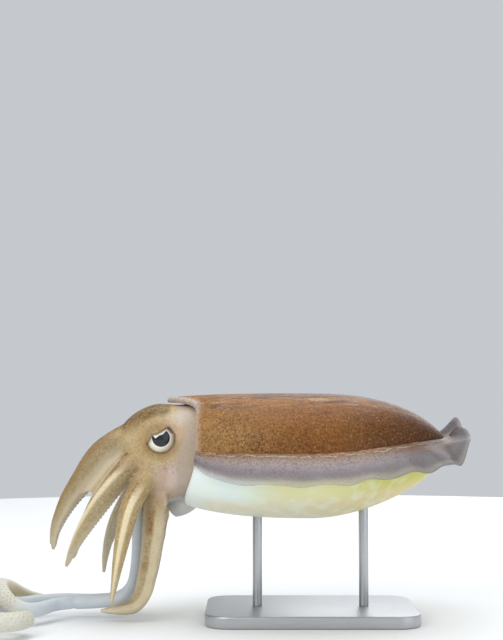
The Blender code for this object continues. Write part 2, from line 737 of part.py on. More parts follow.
def build_limb(name, path, sections, start, end, keel, sides, rings, group, skin,
               suckers=(), outer_face=None, cutters=()):
    """One length of an arm or tentacle from start to end of its path, with its suckers joined on."""
    made_rings = []
    for i in range(rings):
        share = start + (end - start) * i / (rings - 1)
        deep, wide = profile(sections, share)
        made_rings.append(limb_ring(path, share, deep, wide, keel, sides, outer_face))
    verts, faces = loft(made_rings)
    made = mesh_object(name, verts, faces, group, skin)
    for cutter in cutters:
        applied(made, "DIFFERENCE", cutter)
    if suckers:
        pieces = new_collection(name + "_suckers")
        for number, (share, angle, size) in enumerate(suckers):
            middle, face, across = limb_frame(path, share, outer_face)
            deep, wide = profile(sections, share)
            surface = middle + face * deep * 0.82 * math.cos(angle) + across * wide * math.sin(angle)
            out = face * math.cos(angle) / deep + across * math.sin(angle) / wide
            add_sucker(number, surface, out, size, pieces)
        bpy.context.view_layer.update()
        applied(made, "UNION", group=pieces)
        for piece in list(pieces.objects):
            remove(piece)
        bpy.data.collections.remove(pieces)
    return keep_largest(made)


def arm_suckers(sections, first, last, pairs, rows=(-1, 1)):
    """Places in two staggered rows that shrink and close up towards the tip."""
    found = []
    for i in range(pairs):
        for row in rows:
            step = (i + 0.25 * (row + 1)) / pairs
            share = first + (last - first) * (1 - (1 - step)**1.25)
            deep, wide = profile(sections, share)
            size = max(0.00045, 0.27 * min(deep, wide))
            found.append((share, row * 0.62, size))
    return found


def build_arms(group, cutters, head_cutter):
    """The arms of each side from the lowest pair up. Each is trimmed by the head and the arm below it."""
    for side, word, paths in ((1, "right", ARM_PATHS), (-1, "left", LEFT_PATHS)):
        below = []
        for number in (4, 3, 2, 1):
            path = Path([(x, side * y, z) for x, y, z in paths[number]])
            sections = ARM_SECTIONS[number]
            places = arm_suckers(sections, 0.26, 0.97, SUCKER_PAIRS)
            name = f"arm_{number}_{word}"
            keel = KEEL[number]
            bare = build_limb(name + "_bare", path, sections, 0.0, 0.6, keel, ARM_SIDES, 10, cutters,
                              "arm_skin")
            tools = [head_cutter, *below]
            below = [grown_copy(bare, name + "_cutter", cutters)]
            if number < 4:
                build_limb(name, path, sections, 0.0, 1.0, keel, ARM_SIDES, ARM_RINGS, group,
                           "arm_skin", suckers=places, cutters=tools)
                continue
            space = GAP / path.length / 2
            clear = 0.022
            split = ARM_4_SPLIT
            upper = [p for p in places if p[0] < split - clear]
            lower = [p for p in places if p[0] > split + clear]
            build_limb(name + "_upper", path, sections, 0.0, split - space, keel, ARM_SIDES, 10,
                       group, "arm_skin", suckers=upper, cutters=tools)
            build_limb(name + "_lower", path, sections, split + space, 1.0, keel, ARM_SIDES, 10,
                       group, "arm_skin", suckers=lower)


def spiral_points():
    """The club's coil on the floor level, turning inwards."""
    found = []
    for i in range(1, SPIRAL_POINTS + 1):
        t = i / SPIRAL_POINTS
        angle = math.radians(SPIRAL_START_DEG + SPIRAL_TURN_DEG * t)
        radius = SPIRAL_START_RADIUS + (SPIRAL_END_RADIUS - SPIRAL_START_RADIUS) * t
        found.append((SPIRAL_CENTRE[0] + radius * math.cos(angle),
                      SPIRAL_CENTRE[1] + radius * math.sin(angle), SPIRAL_CENTRE[2]))
    return found


def tentacle_sections(club_from):
    wide = TENTACLE_HALF
    return ((0.0, wide, wide), (club_from - 0.1, wide, wide), (club_from + 0.06, CLUB_HALF, CLUB_HALF),
            (0.93, CLUB_HALF * 0.92, CLUB_HALF * 0.92), (1.0, CLUB_HALF * 0.42, CLUB_HALF * 0.42))


def outward_face(centre):
    """The club's sucker face looks away from the middle of its curl and a little up."""
    def face(middle, share):
        away = middle - np.array(centre)
        away[2] = 0.0
        return away / np.linalg.norm(away) + np.array([0.0, 0.0, 0.45])
    return face


def build_tentacles(group, cutters, head_cutter):
    plans = (
        ("right", TENTACLE_RIGHT + tuple(spiral_points()), RIGHT_SPLITS, SPIRAL_CENTRE, 0.66),
        ("left", TENTACLE_LEFT, LEFT_SPLITS, (-0.1400, -0.0080, 0.0), 0.69),
    )
    for word, points, splits, curl, club_from in plans:
        path = Path(points)
        tools = [head_cutter, cutters.objects[f"arm_4_{word}_cutter"], cutters.objects[f"arm_3_{word}_cutter"]]
        sections = tentacle_sections(club_from)
        space = 1.6 * GAP / path.length / 2
        bounds = [0.0, *splits, 1.0]
        stalks = sum(1 for s in splits if s <= club_from)
        for i in range(len(bounds) - 1):
            start = bounds[i] + (space if i else 0.0)
            end = bounds[i + 1] - (space if i < len(bounds) - 2 else 0.0)
            rings = max(7, round((end - start) * path.length / 0.0052) + 1)
            is_club = i >= stalks
            name = f"club_{word}_{i - stalks + 1}" if is_club else f"tentacle_{word}_{i + 1}"
            suckers = []
            if is_club:
                count = round(CLUB_SUCKERS * 2 * (end - start) / (1.0 - club_from) / 2)
                for k in range(count):
                    for row in range(CLUB_ROWS):
                        share = start + (end - start) * (k + 0.5 + 0.25 * (row % 2)) / (count + 0.4)
                        angle = 0.62 * (row - 1)
                        suckers.append((share, angle, 0.00095 * (1.15 - 0.35 * share)))
            build_limb(name, path, sections, start, end, 0.0, TENTACLE_SIDES, rings, group,
                       "tentacle_skin", suckers=suckers,
                       outer_face=outward_face(curl) if is_club else None,
                       cutters=tools if i == 0 else ())


# Stand

def rod_top(x):
    return mantle_point(x, -math.pi / 2)[2] + ROD_SOCKET_DEPTH


def rod_solid(name, x, radius, bottom, top, group):
    mesh = bpy.data.meshes.new(name)
    rod = bmesh.new()
    bmesh.ops.create_cone(rod, cap_ends=True, segments=ROD_SIDES, radius1=radius, radius2=radius,
                          depth=top - bottom)
    rod.to_mesh(mesh)
    rod.free()
    made = bpy.data.objects.new(name, mesh)
    made.location = (x, 0.0, (top + bottom) / 2)
    group.objects.link(made)
    made.data.materials.append(material("stand_metal"))
    bpy.context.view_layer.update()
    return made


def build_stand(group):
    for word, x in zip(("front", "rear"), ROD_X):
        rod_solid(f"stand_rod_{word}", x, ROD_RADIUS, BASE_THICKNESS + GAP, rod_top(x), group)
    outline = []
    for corner_x, corner_y, start in ((1, 1, 0), (-1, 1, 90), (-1, -1, 180), (1, -1, 270)):
        for step in range(6):
            angle = math.radians(start + 18 * step)
            outline.append((corner_x * (BASE_LENGTH / 2 - BASE_CORNER), BASE_CORNER * math.cos(angle),
                            corner_y * (BASE_WIDTH / 2 - BASE_CORNER), BASE_CORNER * math.sin(angle)))
    rings = []
    for inset, z in ((0.0006, 0.0), (0.0, 0.0006), (0.0, BASE_THICKNESS - 0.001), (0.001, BASE_THICKNESS)):
        shrink = 1 - inset / BASE_CORNER
        rings.append([np.array([x + a * shrink, y + b * shrink, z]) for x, a, y, b in outline])
    verts, faces = loft(rings)
    mesh_object("stand_base", verts, faces, group, "stand_metal")


def main():
    clear_scene()
    animal = new_collection("needle_cuttlefish")
    cutters = new_collection("cutters")
    head_cutter = build_head(animal, cutters)
    build_mantle(animal, cutters, head_cutter)
    build_fin("fin_right", 1, animal)
    build_fin("fin_left", -1, animal)
    for side, word in ((1, "right"), (-1, "left")):
        eye_solid(f"eye_{word}", side, EYE_RADIUS, animal)
    build_funnel(animal, head_cutter, cutters)
    build_mouth(animal, head_cutter)
    build_arms(animal, cutters, head_cutter)
    build_tentacles(animal, cutters, head_cutter)
    build_stand(animal)
    for helper in cutters.objects:
        helper.hide_render = True
        helper.display_type = "WIRE"


main()
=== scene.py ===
"""Finishes a life-size needle cuttlefish that hangs in its swimming pose over a plain stand.

One skin covers the mantle, head, funnel, arms and tentacles. Fins, suckers, eyes, mouth and stand are
pieces of their own. Everything is in metres: the head points to -X, the animal's left to -Y, its back up.
"""
import math

import bmesh
import bpy
import numpy as np
from bpy.props import FloatProperty, FloatVectorProperty, IntProperty, PointerProperty
from bpy.types import Operator, Panel, PropertyGroup
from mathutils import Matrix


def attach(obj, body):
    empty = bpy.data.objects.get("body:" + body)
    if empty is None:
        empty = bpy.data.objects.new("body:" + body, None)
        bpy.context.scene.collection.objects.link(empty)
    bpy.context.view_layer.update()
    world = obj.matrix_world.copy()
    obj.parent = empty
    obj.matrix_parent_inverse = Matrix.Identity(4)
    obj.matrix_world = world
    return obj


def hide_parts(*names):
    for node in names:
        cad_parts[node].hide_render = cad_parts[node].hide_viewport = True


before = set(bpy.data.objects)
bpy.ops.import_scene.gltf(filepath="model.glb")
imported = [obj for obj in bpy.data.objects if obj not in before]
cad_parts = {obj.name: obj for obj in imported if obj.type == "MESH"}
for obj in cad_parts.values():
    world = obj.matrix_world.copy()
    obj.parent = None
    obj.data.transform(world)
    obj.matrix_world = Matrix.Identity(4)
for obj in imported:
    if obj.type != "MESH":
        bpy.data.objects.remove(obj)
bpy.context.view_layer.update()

bl_info = {
    "name": "Needle Cuttlefish",
    "version": (1, 0, 0),
    "blender": (4, 5, 0),
    "location": "3D View > Sidebar > Cuttlefish",
    "description": "Builds the skin, fins, suckers, eyes, mouth and stand of a life-size cuttlefish",
    "category": "Add Mesh",
}

# Mantle, with the sizes of the solids
MANTLE_HALF_WIDTH = 0.0462
MANTLE_REAR_X = 0.0695
MANTLE_FRONT_REACH = 0.085
FIN_LINE_Z = 0.0825
FIN_LINE_RISE = 0.006
MANTLE_RISE = 0.0310
MANTLE_DROP = 0.0322
# Its front edge at the sides, and how far the lobe over the head and the lip below it reach ahead of that
MARGIN_X = -0.0570
LOBE_REACH = 0.0155
VENTRAL_REACH = 0.0060
# The edge's roll: its thickness, and how far its middle lies behind the edge
LIP = 0.0026
EDGE_SETBACK = 0.0007
# How square the sections are above and below the fin line, where 2 is an ellipse
BACK_POWER = 2.3
BELLY_POWER = 2.2
MANTLE_AROUND = 144
MANTLE_ALONG = 104
# Rings of the mantle and fins crowd together towards the tail by this power
TAIL_CROWDING = 1.75

# Fins: width, then drop of the edge below the root, each over the share of the fin's length
FIN_WIDTHS = ((0.0, 0.0016), (0.04, 0.0058), (0.12, 0.0098), (0.35, 0.0120), (0.52, 0.0125),
              (0.68, 0.0145), (0.82, 0.0165), (0.90, 0.0160), (0.94, 0.0148), (0.965, 0.0128),
              (0.985, 0.0096), (1.0, 0.0058))
FIN_DROPS = {
    "left": ((0.0, 0.0030), (0.08, 0.0085), (0.3, 0.0118), (0.55, 0.0112), (0.72, 0.0100),
             (0.80, 0.0095), (0.86, 0.0080), (0.90, 0.0042), (0.94, -0.0012), (0.965, -0.0045),
             (0.985, -0.0068), (1.0, -0.0078)),
    "right": ((0.0, 0.0030), (0.08, 0.0085), (0.3, 0.0118), (0.55, 0.0112), (0.72, 0.0095),
              (0.78, 0.0042), (0.84, -0.0040), (0.89, -0.0092), (0.93, -0.0100),
              (0.965, -0.0080), (1.0, -0.0056)),
}
FIN_END_X = MANTLE_REAR_X - 0.0001
FIN_WAVE = 0.0019
FIN_WAVES = 7
FIN_ALONG = 230
FIN_ACROSS = 26
# The first row lies inside the mantle, by this share of the width; the others start at the gap
FIN_ROOT_SHARE = -0.09
FIN_ROOT_GAP = 0.0003
# Each fin keeps this far from the middle plane, so that the two don't cross behind the tail
FIN_APART = 0.0006

# With fewer points than this, the flesh didn't grow together
FEWEST_FLESH_POINTS = 20000

# Head rings: top point and bottom point as (x, z), then half width
HEAD_RINGS = (
    ((-0.0680, 0.1076), (-0.0638, 0.0604), 0.0276),
    ((-0.0785, 0.1080), (-0.0672, 0.0600), 0.0262),
    ((-0.0880, 0.1044), (-0.0702, 0.0592), 0.0240),
    ((-0.0958, 0.0975), (-0.0730, 0.0586), 0.0212),
    ((-0.0987, 0.0912), (-0.0788, 0.0610), 0.0160),
    ((-0.0962, 0.0842), (-0.0850, 0.0686), 0.0080),
)
NECK_X = (-0.0470, -0.0570)
NECK_INSET = 0.0040
HEAD_AROUND = 96

# Eyes and their lids
EYE_CENTRE = np.array((-0.0754, 0.0172, 0.0908))
EYE_RADIUS = 0.0088
EYE_RISE = 0.00035
EYE_RISE_REACH = 0.0055
SOCKET_GAP = 0.0003
LID_BALL = 0.0106
LID_BALL_TALL = 0.97
OPENING_RADIUS = 0.0073
OPENING_BACK = 0.0007
# The upper lid's edge, from the front corner up over the eye to the rear corner: distance back, height
LID_EDGE = ((-0.0075, -0.0018), (-0.0058, -0.0018), (-0.0032, 0.0025), (-0.0010, 0.0027), (0.0080, 0.0088))
LID_SOFTNESS = 0.0005
# The roll of skin round the opening: size over the opening's, radius below, and what the upper lid adds
RIM_GROWTH = 1.02
RIM_RADIUS = 0.00042
RIM_EXTRA = 0.00022
# The plug that cuts the opening, from inside to outside: size over the opening's, distance out
PLUG_RINGS = ((0.90, 0.0035), (0.97, 0.0065), (1.04, 0.0085), (1.22, 0.0135))

# Arms: points along the middle of each arm, from root to tip
ARM_PATHS = {
    "1_right": ((-0.0860, 0.0068, 0.0950), (-0.0955, 0.0066, 0.0895), (-0.1052, 0.0062, 0.0820),
                (-0.1146, 0.0058, 0.0705), (-0.1238, 0.0054, 0.0580), (-0.1302, 0.0050, 0.0465),
                (-0.1326, 0.0046, 0.0365)),
    "2_right": ((-0.0830, 0.0125, 0.0865), (-0.0910, 0.0150, 0.0795), (-0.1005, 0.0158, 0.0695),
                (-0.1085, 0.0155, 0.0590), (-0.1152, 0.0142, 0.0475), (-0.1200, 0.0126, 0.0370),
                (-0.1222, 0.0114, 0.0285)),
    "3_right": ((-0.0790, 0.0120, 0.0760), (-0.0860, 0.0198, 0.0685), (-0.0950, 0.0240, 0.0580),
                (-0.1016, 0.0250, 0.0470), (-0.1056, 0.0244, 0.0360), (-0.1072, 0.0226, 0.0270),
                (-0.1076, 0.0208, 0.0200)),
    "4_right": ((-0.0790, 0.0080, 0.0720), (-0.0786, 0.0116, 0.0620), (-0.0792, 0.0134, 0.0500),
                (-0.0806, 0.0142, 0.0380), (-0.0824, 0.0146, 0.0260), (-0.0848, 0.0146, 0.0155),
                (-0.0890, 0.0144, 0.0088), (-0.0950, 0.0140, 0.0066), (-0.1020, 0.0132, 0.0058)),
    "1_left": ((-0.0860, -0.0068, 0.0950), (-0.0955, -0.0066, 0.0895), (-0.1048, -0.0062, 0.0820),
               (-0.1136, -0.0060, 0.0705), (-0.1226, -0.0056, 0.0580), (-0.1284, -0.0052, 0.0455),
               (-0.1300, -0.0048, 0.0350)),
    "2_left": ((-0.0830, -0.0125, 0.0860), (-0.0902, -0.0154, 0.0785), (-0.0983, -0.0164, 0.0680),
               (-0.1060, -0.0164, 0.0572), (-0.1130, -0.0154, 0.0462), (-0.1186, -0.0138, 0.0360),
               (-0.1222, -0.0124, 0.0275)),
    "3_left": ((-0.0790, -0.0120, 0.0760), (-0.0840, -0.0195, 0.0690), (-0.0893, -0.0232, 0.0580),
               (-0.0925, -0.0242, 0.0450), (-0.0950, -0.0234, 0.0325), (-0.0970, -0.0218, 0.0210),
               (-0.0988, -0.0204, 0.0105)),
    "4_left": ((-0.0790, -0.0080, 0.0720), (-0.0782, -0.0116, 0.0620), (-0.0787, -0.0134, 0.0500),
               (-0.0798, -0.0142, 0.0380), (-0.0814, -0.0146, 0.0260), (-0.0838, -0.0146, 0.0150),
               (-0.0882, -0.0144, 0.0084), (-0.0955, -0.0140, 0.0064), (-0.1045, -0.0130, 0.0056)),
}
# Sections of each pair of arms: share of the length, half depth, half width
ARM_SECTIONS = {
    "1": ((0.0, 0.0062, 0.0052), (0.35, 0.0076, 0.0050), (0.62, 0.0054, 0.0040),
          (0.86, 0.0028, 0.0023), (1.0, 0.0010, 0.0009)),
    "2": ((0.0, 0.0056, 0.0052), (0.35, 0.0063, 0.0052), (0.62, 0.0047, 0.0040),
          (0.86, 0.0025, 0.0021), (1.0, 0.0010, 0.0009)),
    "3": ((0.0, 0.0052, 0.0056), (0.30, 0.0048, 0.0052), (0.58, 0.0036, 0.0038),
          (0.82, 0.0022, 0.0022), (1.0, 0.0010, 0.0009)),
    "4": ((0.0, 0.0066, 0.0058), (0.25, 0.0062, 0.0057), (0.50, 0.0050, 0.0050),
          (0.70, 0.0044, 0.0046), (0.84, 0.0026, 0.0034), (1.0, 0.0010, 0.0010)),
}
# Depth of the sucker side over that of the outer side
SUCKER_SIDE = 0.82
# The keel along each pair's outer side: height over the arm's radius, and width in radians
KEELS = {"1": 0.10, "2": 0.16, "3": 0.22, "4": 0.34}
KEEL_WIDTH = 0.30
# The fourth pair's keel rises and falls by this share, with its waves in radians over the arm's length
KEEL_RIPPLE = 0.35
KEEL_RIPPLE_TURN = 48
ARM_ALONG = 70
ARM_AROUND = 36
# The line that the arms hang round and turn their suckers to
CORE_TOP = np.array((-0.0880, 0.0, 0.0770))
CORE_FOOT = np.array((-0.0960, 0.0, 0.0080))
# Skin between the roots of neighbouring arms, and the share of their length that it reaches
WEBS = (("1_left", "1_right", 0.26), ("1_left", "2_left", 0.71), ("1_right", "2_right", 0.71),
        ("2_left", "3_left", 0.26), ("2_right", "3_right", 0.26), ("3_left", "4_left", 0.20),
        ("3_right", "4_right", 0.20))
WEB_START = 0.02
WEB_HALF = 0.0008
WEB_HOLLOW = 0.3

# Tentacles
TENTACLE_ALONG = 190
TENTACLE_AROUND = 28
TENTACLE_HALF = 0.0034
CLUB_HALF = 0.0041
CLUB_STARTS = {"right": 0.66, "left": 0.69}
# The clubs turn their suckers away from these centres and a little upwards, over a stretch before they start
SPIRAL_CENTRE = (-0.1432, -0.0488, 0.0082)
LOOP_CENTRE = (-0.1400, -0.0080, 0.0)
CLUB_TILT = 0.45
CLUB_TURN = 0.12
TENTACLE_RIGHT = (
    (-0.0862, 0.0050, 0.0725), (-0.0872, 0.0058, 0.0580), (-0.0878, 0.0060, 0.0420),
    (-0.0888, 0.0058, 0.0260), (-0.0915, 0.0055, 0.0150), (-0.0975, 0.0052, 0.0096),
    (-0.1070, 0.0050, 0.0082), (-0.1170, 0.0056, 0.0080), (-0.1260, 0.0068, 0.0080),
    (-0.1355, 0.0046, 0.0078), (-0.1440, -0.0010, 0.0076), (-0.1512, -0.0080, 0.0076),
    (-0.1562, -0.0150, 0.0076), (-0.1585, -0.0225, 0.0076), (-0.1583, -0.0310, 0.0076),
)
TENTACLE_LEFT = (
    (-0.0862, -0.0050, 0.0725), (-0.0868, -0.0056, 0.0580), (-0.0872, -0.0058, 0.0420),
    (-0.0880, -0.0058, 0.0270), (-0.0905, -0.0055, 0.0160), (-0.0960, -0.0050, 0.0100),
    (-0.1050, -0.0042, 0.0086), (-0.1140, -0.0038, 0.0080), (-0.1220, -0.0048, 0.0080),
    (-0.1284, -0.0088, 0.0078), (-0.1318, -0.0150, 0.0076), (-0.1350, -0.0212, 0.0076),
    (-0.1405, -0.0256, 0.0082), (-0.1468, -0.0262, 0.0110), (-0.1518, -0.0226, 0.0150),
    (-0.1545, -0.0160, 0.0168), (-0.1550, -0.0085, 0.0166), (-0.1530, -0.0010, 0.0146),
    (-0.1490, 0.0058, 0.0112), (-0.1438, 0.0108, 0.0088), (-0.1380, 0.0134, 0.0082),
)
# The right club's coil, which carries that tentacle's line on
SPIRAL_RADII = (0.0125, 0.0062)
SPIRAL_DEGREES = (150.0, 480.0)
SPIRAL_POINTS = 9

# Suckers: rows across, how far they spread in radians, the smallest over the largest
SUCKER_ROWS = {"arm": 4, "club": 6}
SUCKER_SPREAD = {"arm": 0.80, "club": 1.02}
SUCKER_TAPER = {"arm": 0.30, "club": 0.55}
ARM_SUCKER_START = 0.20
SUCKER_END = 0.985
# They crowd together towards the tip by the power, shrink towards the sides, and stand a little proud
SUCKER_CROWDING = 1.22
SUCKER_SIDE_SHRINK = 0.22
SUCKER_LIFT = 0.05
# The cup's walls, from its foot up: rise and growth of each step
CUP_STEPS = ((0.55, 1.45), (0.42, 1.10), (0.16, 0.86))

# Funnel and mouth
FUNNEL_BACK = np.array((-0.0640, 0.0, 0.0590))
FUNNEL_TIP = np.array((-0.0712, 0.0, 0.0535))
FUNNEL_HALF_WIDTHS = (0.0086, 0.0046)
FUNNEL_HALF_HEIGHTS = (0.0066, 0.0040)
FUNNEL_BORE = 0.0028
FUNNEL_AROUND = 48
MOUTH_CENTRE = np.array((-0.0925, 0.0, 0.0785))
MOUTH_RADIUS = 0.0044
MOUTH_AROUND = 84
LIP_FOLDS = 14
# Rings of the lips over the mouth's radius: radius, distance ahead, then depth of the folds
LIP_RINGS = ((0.86, -0.75, 0.0), (0.97, -0.3, 0.0), (1.0, 0.1, 0.012), (0.93, 0.45, 0.03),
             (0.80, 0.66, 0.05), (0.66, 0.72, 0.07), (0.53, 0.62, 0.08), (0.45, 0.40, 0.07),
             (0.42, 0.10, 0.03), (0.40, -0.15, 0.0))
# Rings of the beak over the mouth's radius: radius, distance ahead, then width over height
BEAK_RINGS = ((0.40, 0.0, 1.0), (0.39, 0.45, 0.86), (0.33, 0.80, 0.74), (0.21, 1.12, 0.62),
              (0.09, 1.36, 0.55), (0.02, 1.46, 0.5))

# Stand
BASE_SIZE = (0.106, 0.066, 0.006)
BASE_CORNER = 0.012
ROD_RADIUS = 0.0024
ROD_X = (-0.027, 0.027)
ROD_DEPTH = 0.008
ROD_EDGE = 0.0003
SMOOTH_ANGLE = math.radians(32)
ROUNDED_ANGLE = math.radians(50)

# Studio: the floor and the wall that curves up behind it, the lights and the camera
FLOOR_RADIUS = 0.8
FLOOR_Z = -0.0001
WALL_CURVE = 2.6
WALL_STEPS = 24
LIGHT_AIM = np.array((-0.03, 0.0, 0.06))
# Each light's place, size, share of the power, and colour
LIGHTS = {
    "key": ((-0.60, -0.80, 0.80), 0.70, 0.42, (1.0, 0.975, 0.94)),
    "fill": ((0.85, -0.70, 0.35), 0.90, 0.18, (0.93, 0.96, 1.0)),
    "top": ((0.05, 0.10, 1.25), 1.10, 0.70, (1.0, 1.0, 1.0)),
    "back": ((0.35, 0.95, 0.60), 0.80, 0.25, (0.97, 0.98, 1.0)),
}
SKY_COLOUR = (0.86, 0.90, 0.95)
SKY_STRENGTH = 0.65
CAMERA_PLACE = (-0.030, -0.62, 0.110)
CAMERA_TILT = math.radians(93.8)

FLESH_NODES = [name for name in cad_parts
               if not name.startswith(("eye", "fin", "stand", "mouth"))]


def smooth_step(value):
    """0 up to 0 and 1 from 1 on, with a soft step between them."""
    t = np.clip(value, 0.0, 1.0)
    return t * t * (3 - 2 * t)


def profile(rows, at):
    """A table's values at each place, joined by a smooth curve through its rows."""
    table = np.array(rows, float)
    places, values = table[:, 0], table[:, 1:]
    slopes = np.gradient(values, places, axis=0)
    at = np.clip(np.atleast_1d(at), places[0], places[-1])
    i = np.clip(np.searchsorted(places, at, side="right") - 1, 0, len(places) - 2)
    span = (places[i + 1] - places[i])[:, None]
    t = (at - places[i])[:, None] / span
    found = ((2 * t**3 - 3 * t**2 + 1) * values[i] + (t**3 - 2 * t**2 + t) * span * slopes[i]
             + (3 * t**2 - 2 * t**3) * values[i + 1] + (t**3 - t**2) * span * slopes[i + 1])
    return found if found.shape[1] > 1 else found[:, 0]


def catmull_rom(keys, per_span):
    """Rows of points on a smooth curve through the keys, whatever shape each key has."""
    keys = np.asarray(keys, float)
    padded = np.concatenate([[2 * keys[0] - keys[1]], keys, [2 * keys[-1] - keys[-2]]])
    rows = []
    for i in range(len(keys) - 1):
        p0, p1, p2, p3 = padded[i:i + 4]
        for t in np.linspace(0, 1, per_span, endpoint=False):
            rows.append(0.5 * (2 * p1 + (p2 - p0) * t + (2 * p0 - 5 * p1 + 4 * p2 - p3) * t**2
                               + (3 * p1 - p0 - 3 * p2 + p3) * t**3))
    rows.append(keys[-1])
    return np.array(rows)


def unit(vectors):
    return vectors / np.linalg.norm(vectors, axis=-1, keepdims=True)


def superellipse(angles, power):
    """The cosine and sine of a rounded box's outline."""
    side, up = np.cos(angles), np.sin(angles)
    return (np.sign(side) * np.abs(side)**(2 / power), np.sign(up) * np.abs(up)**(2 / power))


class Limb:
    """An arm or tentacle: its middle line, its sections and which way its suckers face."""

    def __init__(self, points, sections, curl=None, club_from=None):
        self.points = catmull_rom(points, 8)
        steps = np.linalg.norm(np.diff(self.points, axis=0), axis=1)
        self.shares = np.concatenate([[0.0], np.cumsum(steps)]) / steps.sum()
        self.sections = sections
        self.curl = curl
        self.club_from = club_from

    def at(self, share):
        return np.stack([np.interp(share, self.shares, self.points[:, k]) for k in range(3)], axis=-1)

    def frame(self, share):
        """The middle, the way the suckers face and the way across, at each share.

        Suckers face the line that the arms hang round, and on a club away from the club's centre.
        """
        share = np.atleast_1d(share)
        middle = self.at(share)
        near = 0.02
        ahead = unit(self.at(np.minimum(share + near, 1.0)) - self.at(np.maximum(share - near, 0.0)))
        down = np.clip((CORE_TOP[2] - middle[:, 2]) / (CORE_TOP[2] - CORE_FOOT[2]), 0, 1)[:, None]
        inner = CORE_TOP + (CORE_FOOT - CORE_TOP) * down - middle
        if self.curl is not None:
            away = (middle - np.array(self.curl)) * (1, 1, 0)
            away = unit(away) + np.array((0, 0, CLUB_TILT))
            turn = smooth_step((share - self.club_from + CLUB_TURN) / CLUB_TURN)[:, None]
            inner = unit(inner) * (1 - turn) + unit(away) * turn
        inner = unit(inner - ahead * np.sum(inner * ahead, axis=1, keepdims=True))
        return middle, inner, np.cross(ahead, inner)

    def surface(self, share, angle):
        """Points on the limb. Angle 0 is the middle of the sucker side."""
        middle, inner, across = self.frame(share)
        size = profile(self.sections, share)
        deep = size[:, :1] * np.where(np.cos(angle) > 0, SUCKER_SIDE, 1.0)[:, None]
        return (middle + inner * deep * np.cos(angle)[:, None]
                + across * size[:, 1:] * np.sin(angle)[:, None])


def tentacle_sections(club_from):
    """Share of the length, half depth and half width: an even stalk, then a thicker club."""
    wide = TENTACLE_HALF
    return ((0.0, wide, wide), (club_from - 0.1, wide, wide), (club_from + 0.06, CLUB_HALF, CLUB_HALF),
            (0.93, CLUB_HALF * 0.92, CLUB_HALF * 0.92), (1.0, CLUB_HALF * 0.42, CLUB_HALF * 0.42))


def spiral_points():
    """The middle of the right club's coil, which tightens towards its tip."""
    turn = np.linspace(0, 1, SPIRAL_POINTS + 1)[1:]
    angle = np.radians(SPIRAL_DEGREES[0] + (SPIRAL_DEGREES[1] - SPIRAL_DEGREES[0]) * turn)
    radius = SPIRAL_RADII[0] + (SPIRAL_RADII[1] - SPIRAL_RADII[0]) * turn
    return [(SPIRAL_CENTRE[0] + r * math.cos(a), SPIRAL_CENTRE[1] + r * math.sin(a), SPIRAL_CENTRE[2])
            for a, r in zip(angle, radius)]


ARMS = {name: Limb(points, ARM_SECTIONS[name[0]]) for name, points in ARM_PATHS.items()}
TENTACLES = {
    "right": Limb(TENTACLE_RIGHT + tuple(spiral_points()), tentacle_sections(CLUB_STARTS["right"]),
                  SPIRAL_CENTRE, CLUB_STARTS["right"]),
    "left": Limb(TENTACLE_LEFT, tentacle_sections(CLUB_STARTS["left"]), LOOP_CENTRE, CLUB_STARTS["left"]),
}


# Meshes

def deselect_all():
    if bpy.context.object and bpy.context.object.mode != "OBJECT":
        bpy.ops.object.mode_set(mode="OBJECT")
    bpy.ops.object.select_all(action="DESELECT")


def select_only(*pieces):
    deselect_all()
    for piece in pieces:
        piece.select_set(True)
    bpy.context.view_layer.objects.active = pieces[0]


def mesh_piece(name, points, faces):
    """A new object with these points and faces, its faces turned outwards."""
    mesh = bpy.data.meshes.new(name)
    mesh.from_pydata(np.asarray(points).tolist(), [], faces)
    shell = bmesh.new()
    shell.from_mesh(mesh)
    bmesh.ops.recalc_face_normals(shell, faces=shell.faces)
    shell.to_mesh(mesh)
    shell.free()
    piece = bpy.data.objects.new(name, mesh)
    bpy.context.scene.collection.objects.link(piece)
    return piece


def loft(name, rings, closed_along=False):
    """A closed tube through rings of equal length, with a point at the middle of each end."""
    rings = np.asarray(rings)
    count, around = rings.shape[:2]
    spans = count if closed_along else count - 1
    faces = []
    for i in range(spans):
        a, b = i * around, ((i + 1) % count) * around
        faces += [(a + j, a + (j + 1) % around, b + (j + 1) % around, b + j) for j in range(around)]
    points = rings.reshape(-1, 3)
    if not closed_along:
        points = np.vstack([points, rings[0].mean(axis=0), rings[-1].mean(axis=0)])
        first, last, end = len(points) - 2, len(points) - 1, (count - 1) * around
        faces += [(first, (j + 1) % around, j) for j in range(around)]
        faces += [(last, end + j, end + (j + 1) % around) for j in range(around)]
    return mesh_piece(name, points, faces)


def loft_strip(name, rows):
    """A flat tube: the rows run round it, and each end is closed by pairs of facing rows."""
    rows = np.asarray(rows)
    count, length = rows.shape[:2]
    faces = []
    for i in range(count):
        a, b = i * length, ((i + 1) % count) * length
        faces += [(a + j, a + j + 1, b + j + 1, b + j) for j in range(length - 1)]
    for i in range(count // 2 - 1):
        a, b = i * length, (i + 1) * length
        c, d = (count - 2 - i) * length, (count - 1 - i) * length
        faces.append((a, b, c, d))
        faces.append((a + length - 1, d + length - 1, c + length - 1, b + length - 1))
    return mesh_piece(name, rows.reshape(-1, 3), faces)


def apply_modifier(piece, kind, **settings):
    select_only(piece)
    added = piece.modifiers.new(kind.title(), kind)
    for key, value in settings.items():
        setattr(added, key, value)
    bpy.ops.object.modifier_apply(modifier=added.name)


def joined(name, pieces):
    """The pieces as one object."""
    select_only(*pieces)
    bpy.ops.object.join()
    whole = bpy.context.object
    whole.name = name
    whole.data.name = name
    return whole


def coordinates(piece):
    found = np.empty(len(piece.data.vertices) * 3)
    piece.data.vertices.foreach_get("co", found)
    return found.reshape(-1, 3)


def normals(piece):
    found = np.empty(len(piece.data.vertices) * 3)
    piece.data.vertices.foreach_get("normal", found)
    return found.reshape(-1, 3)


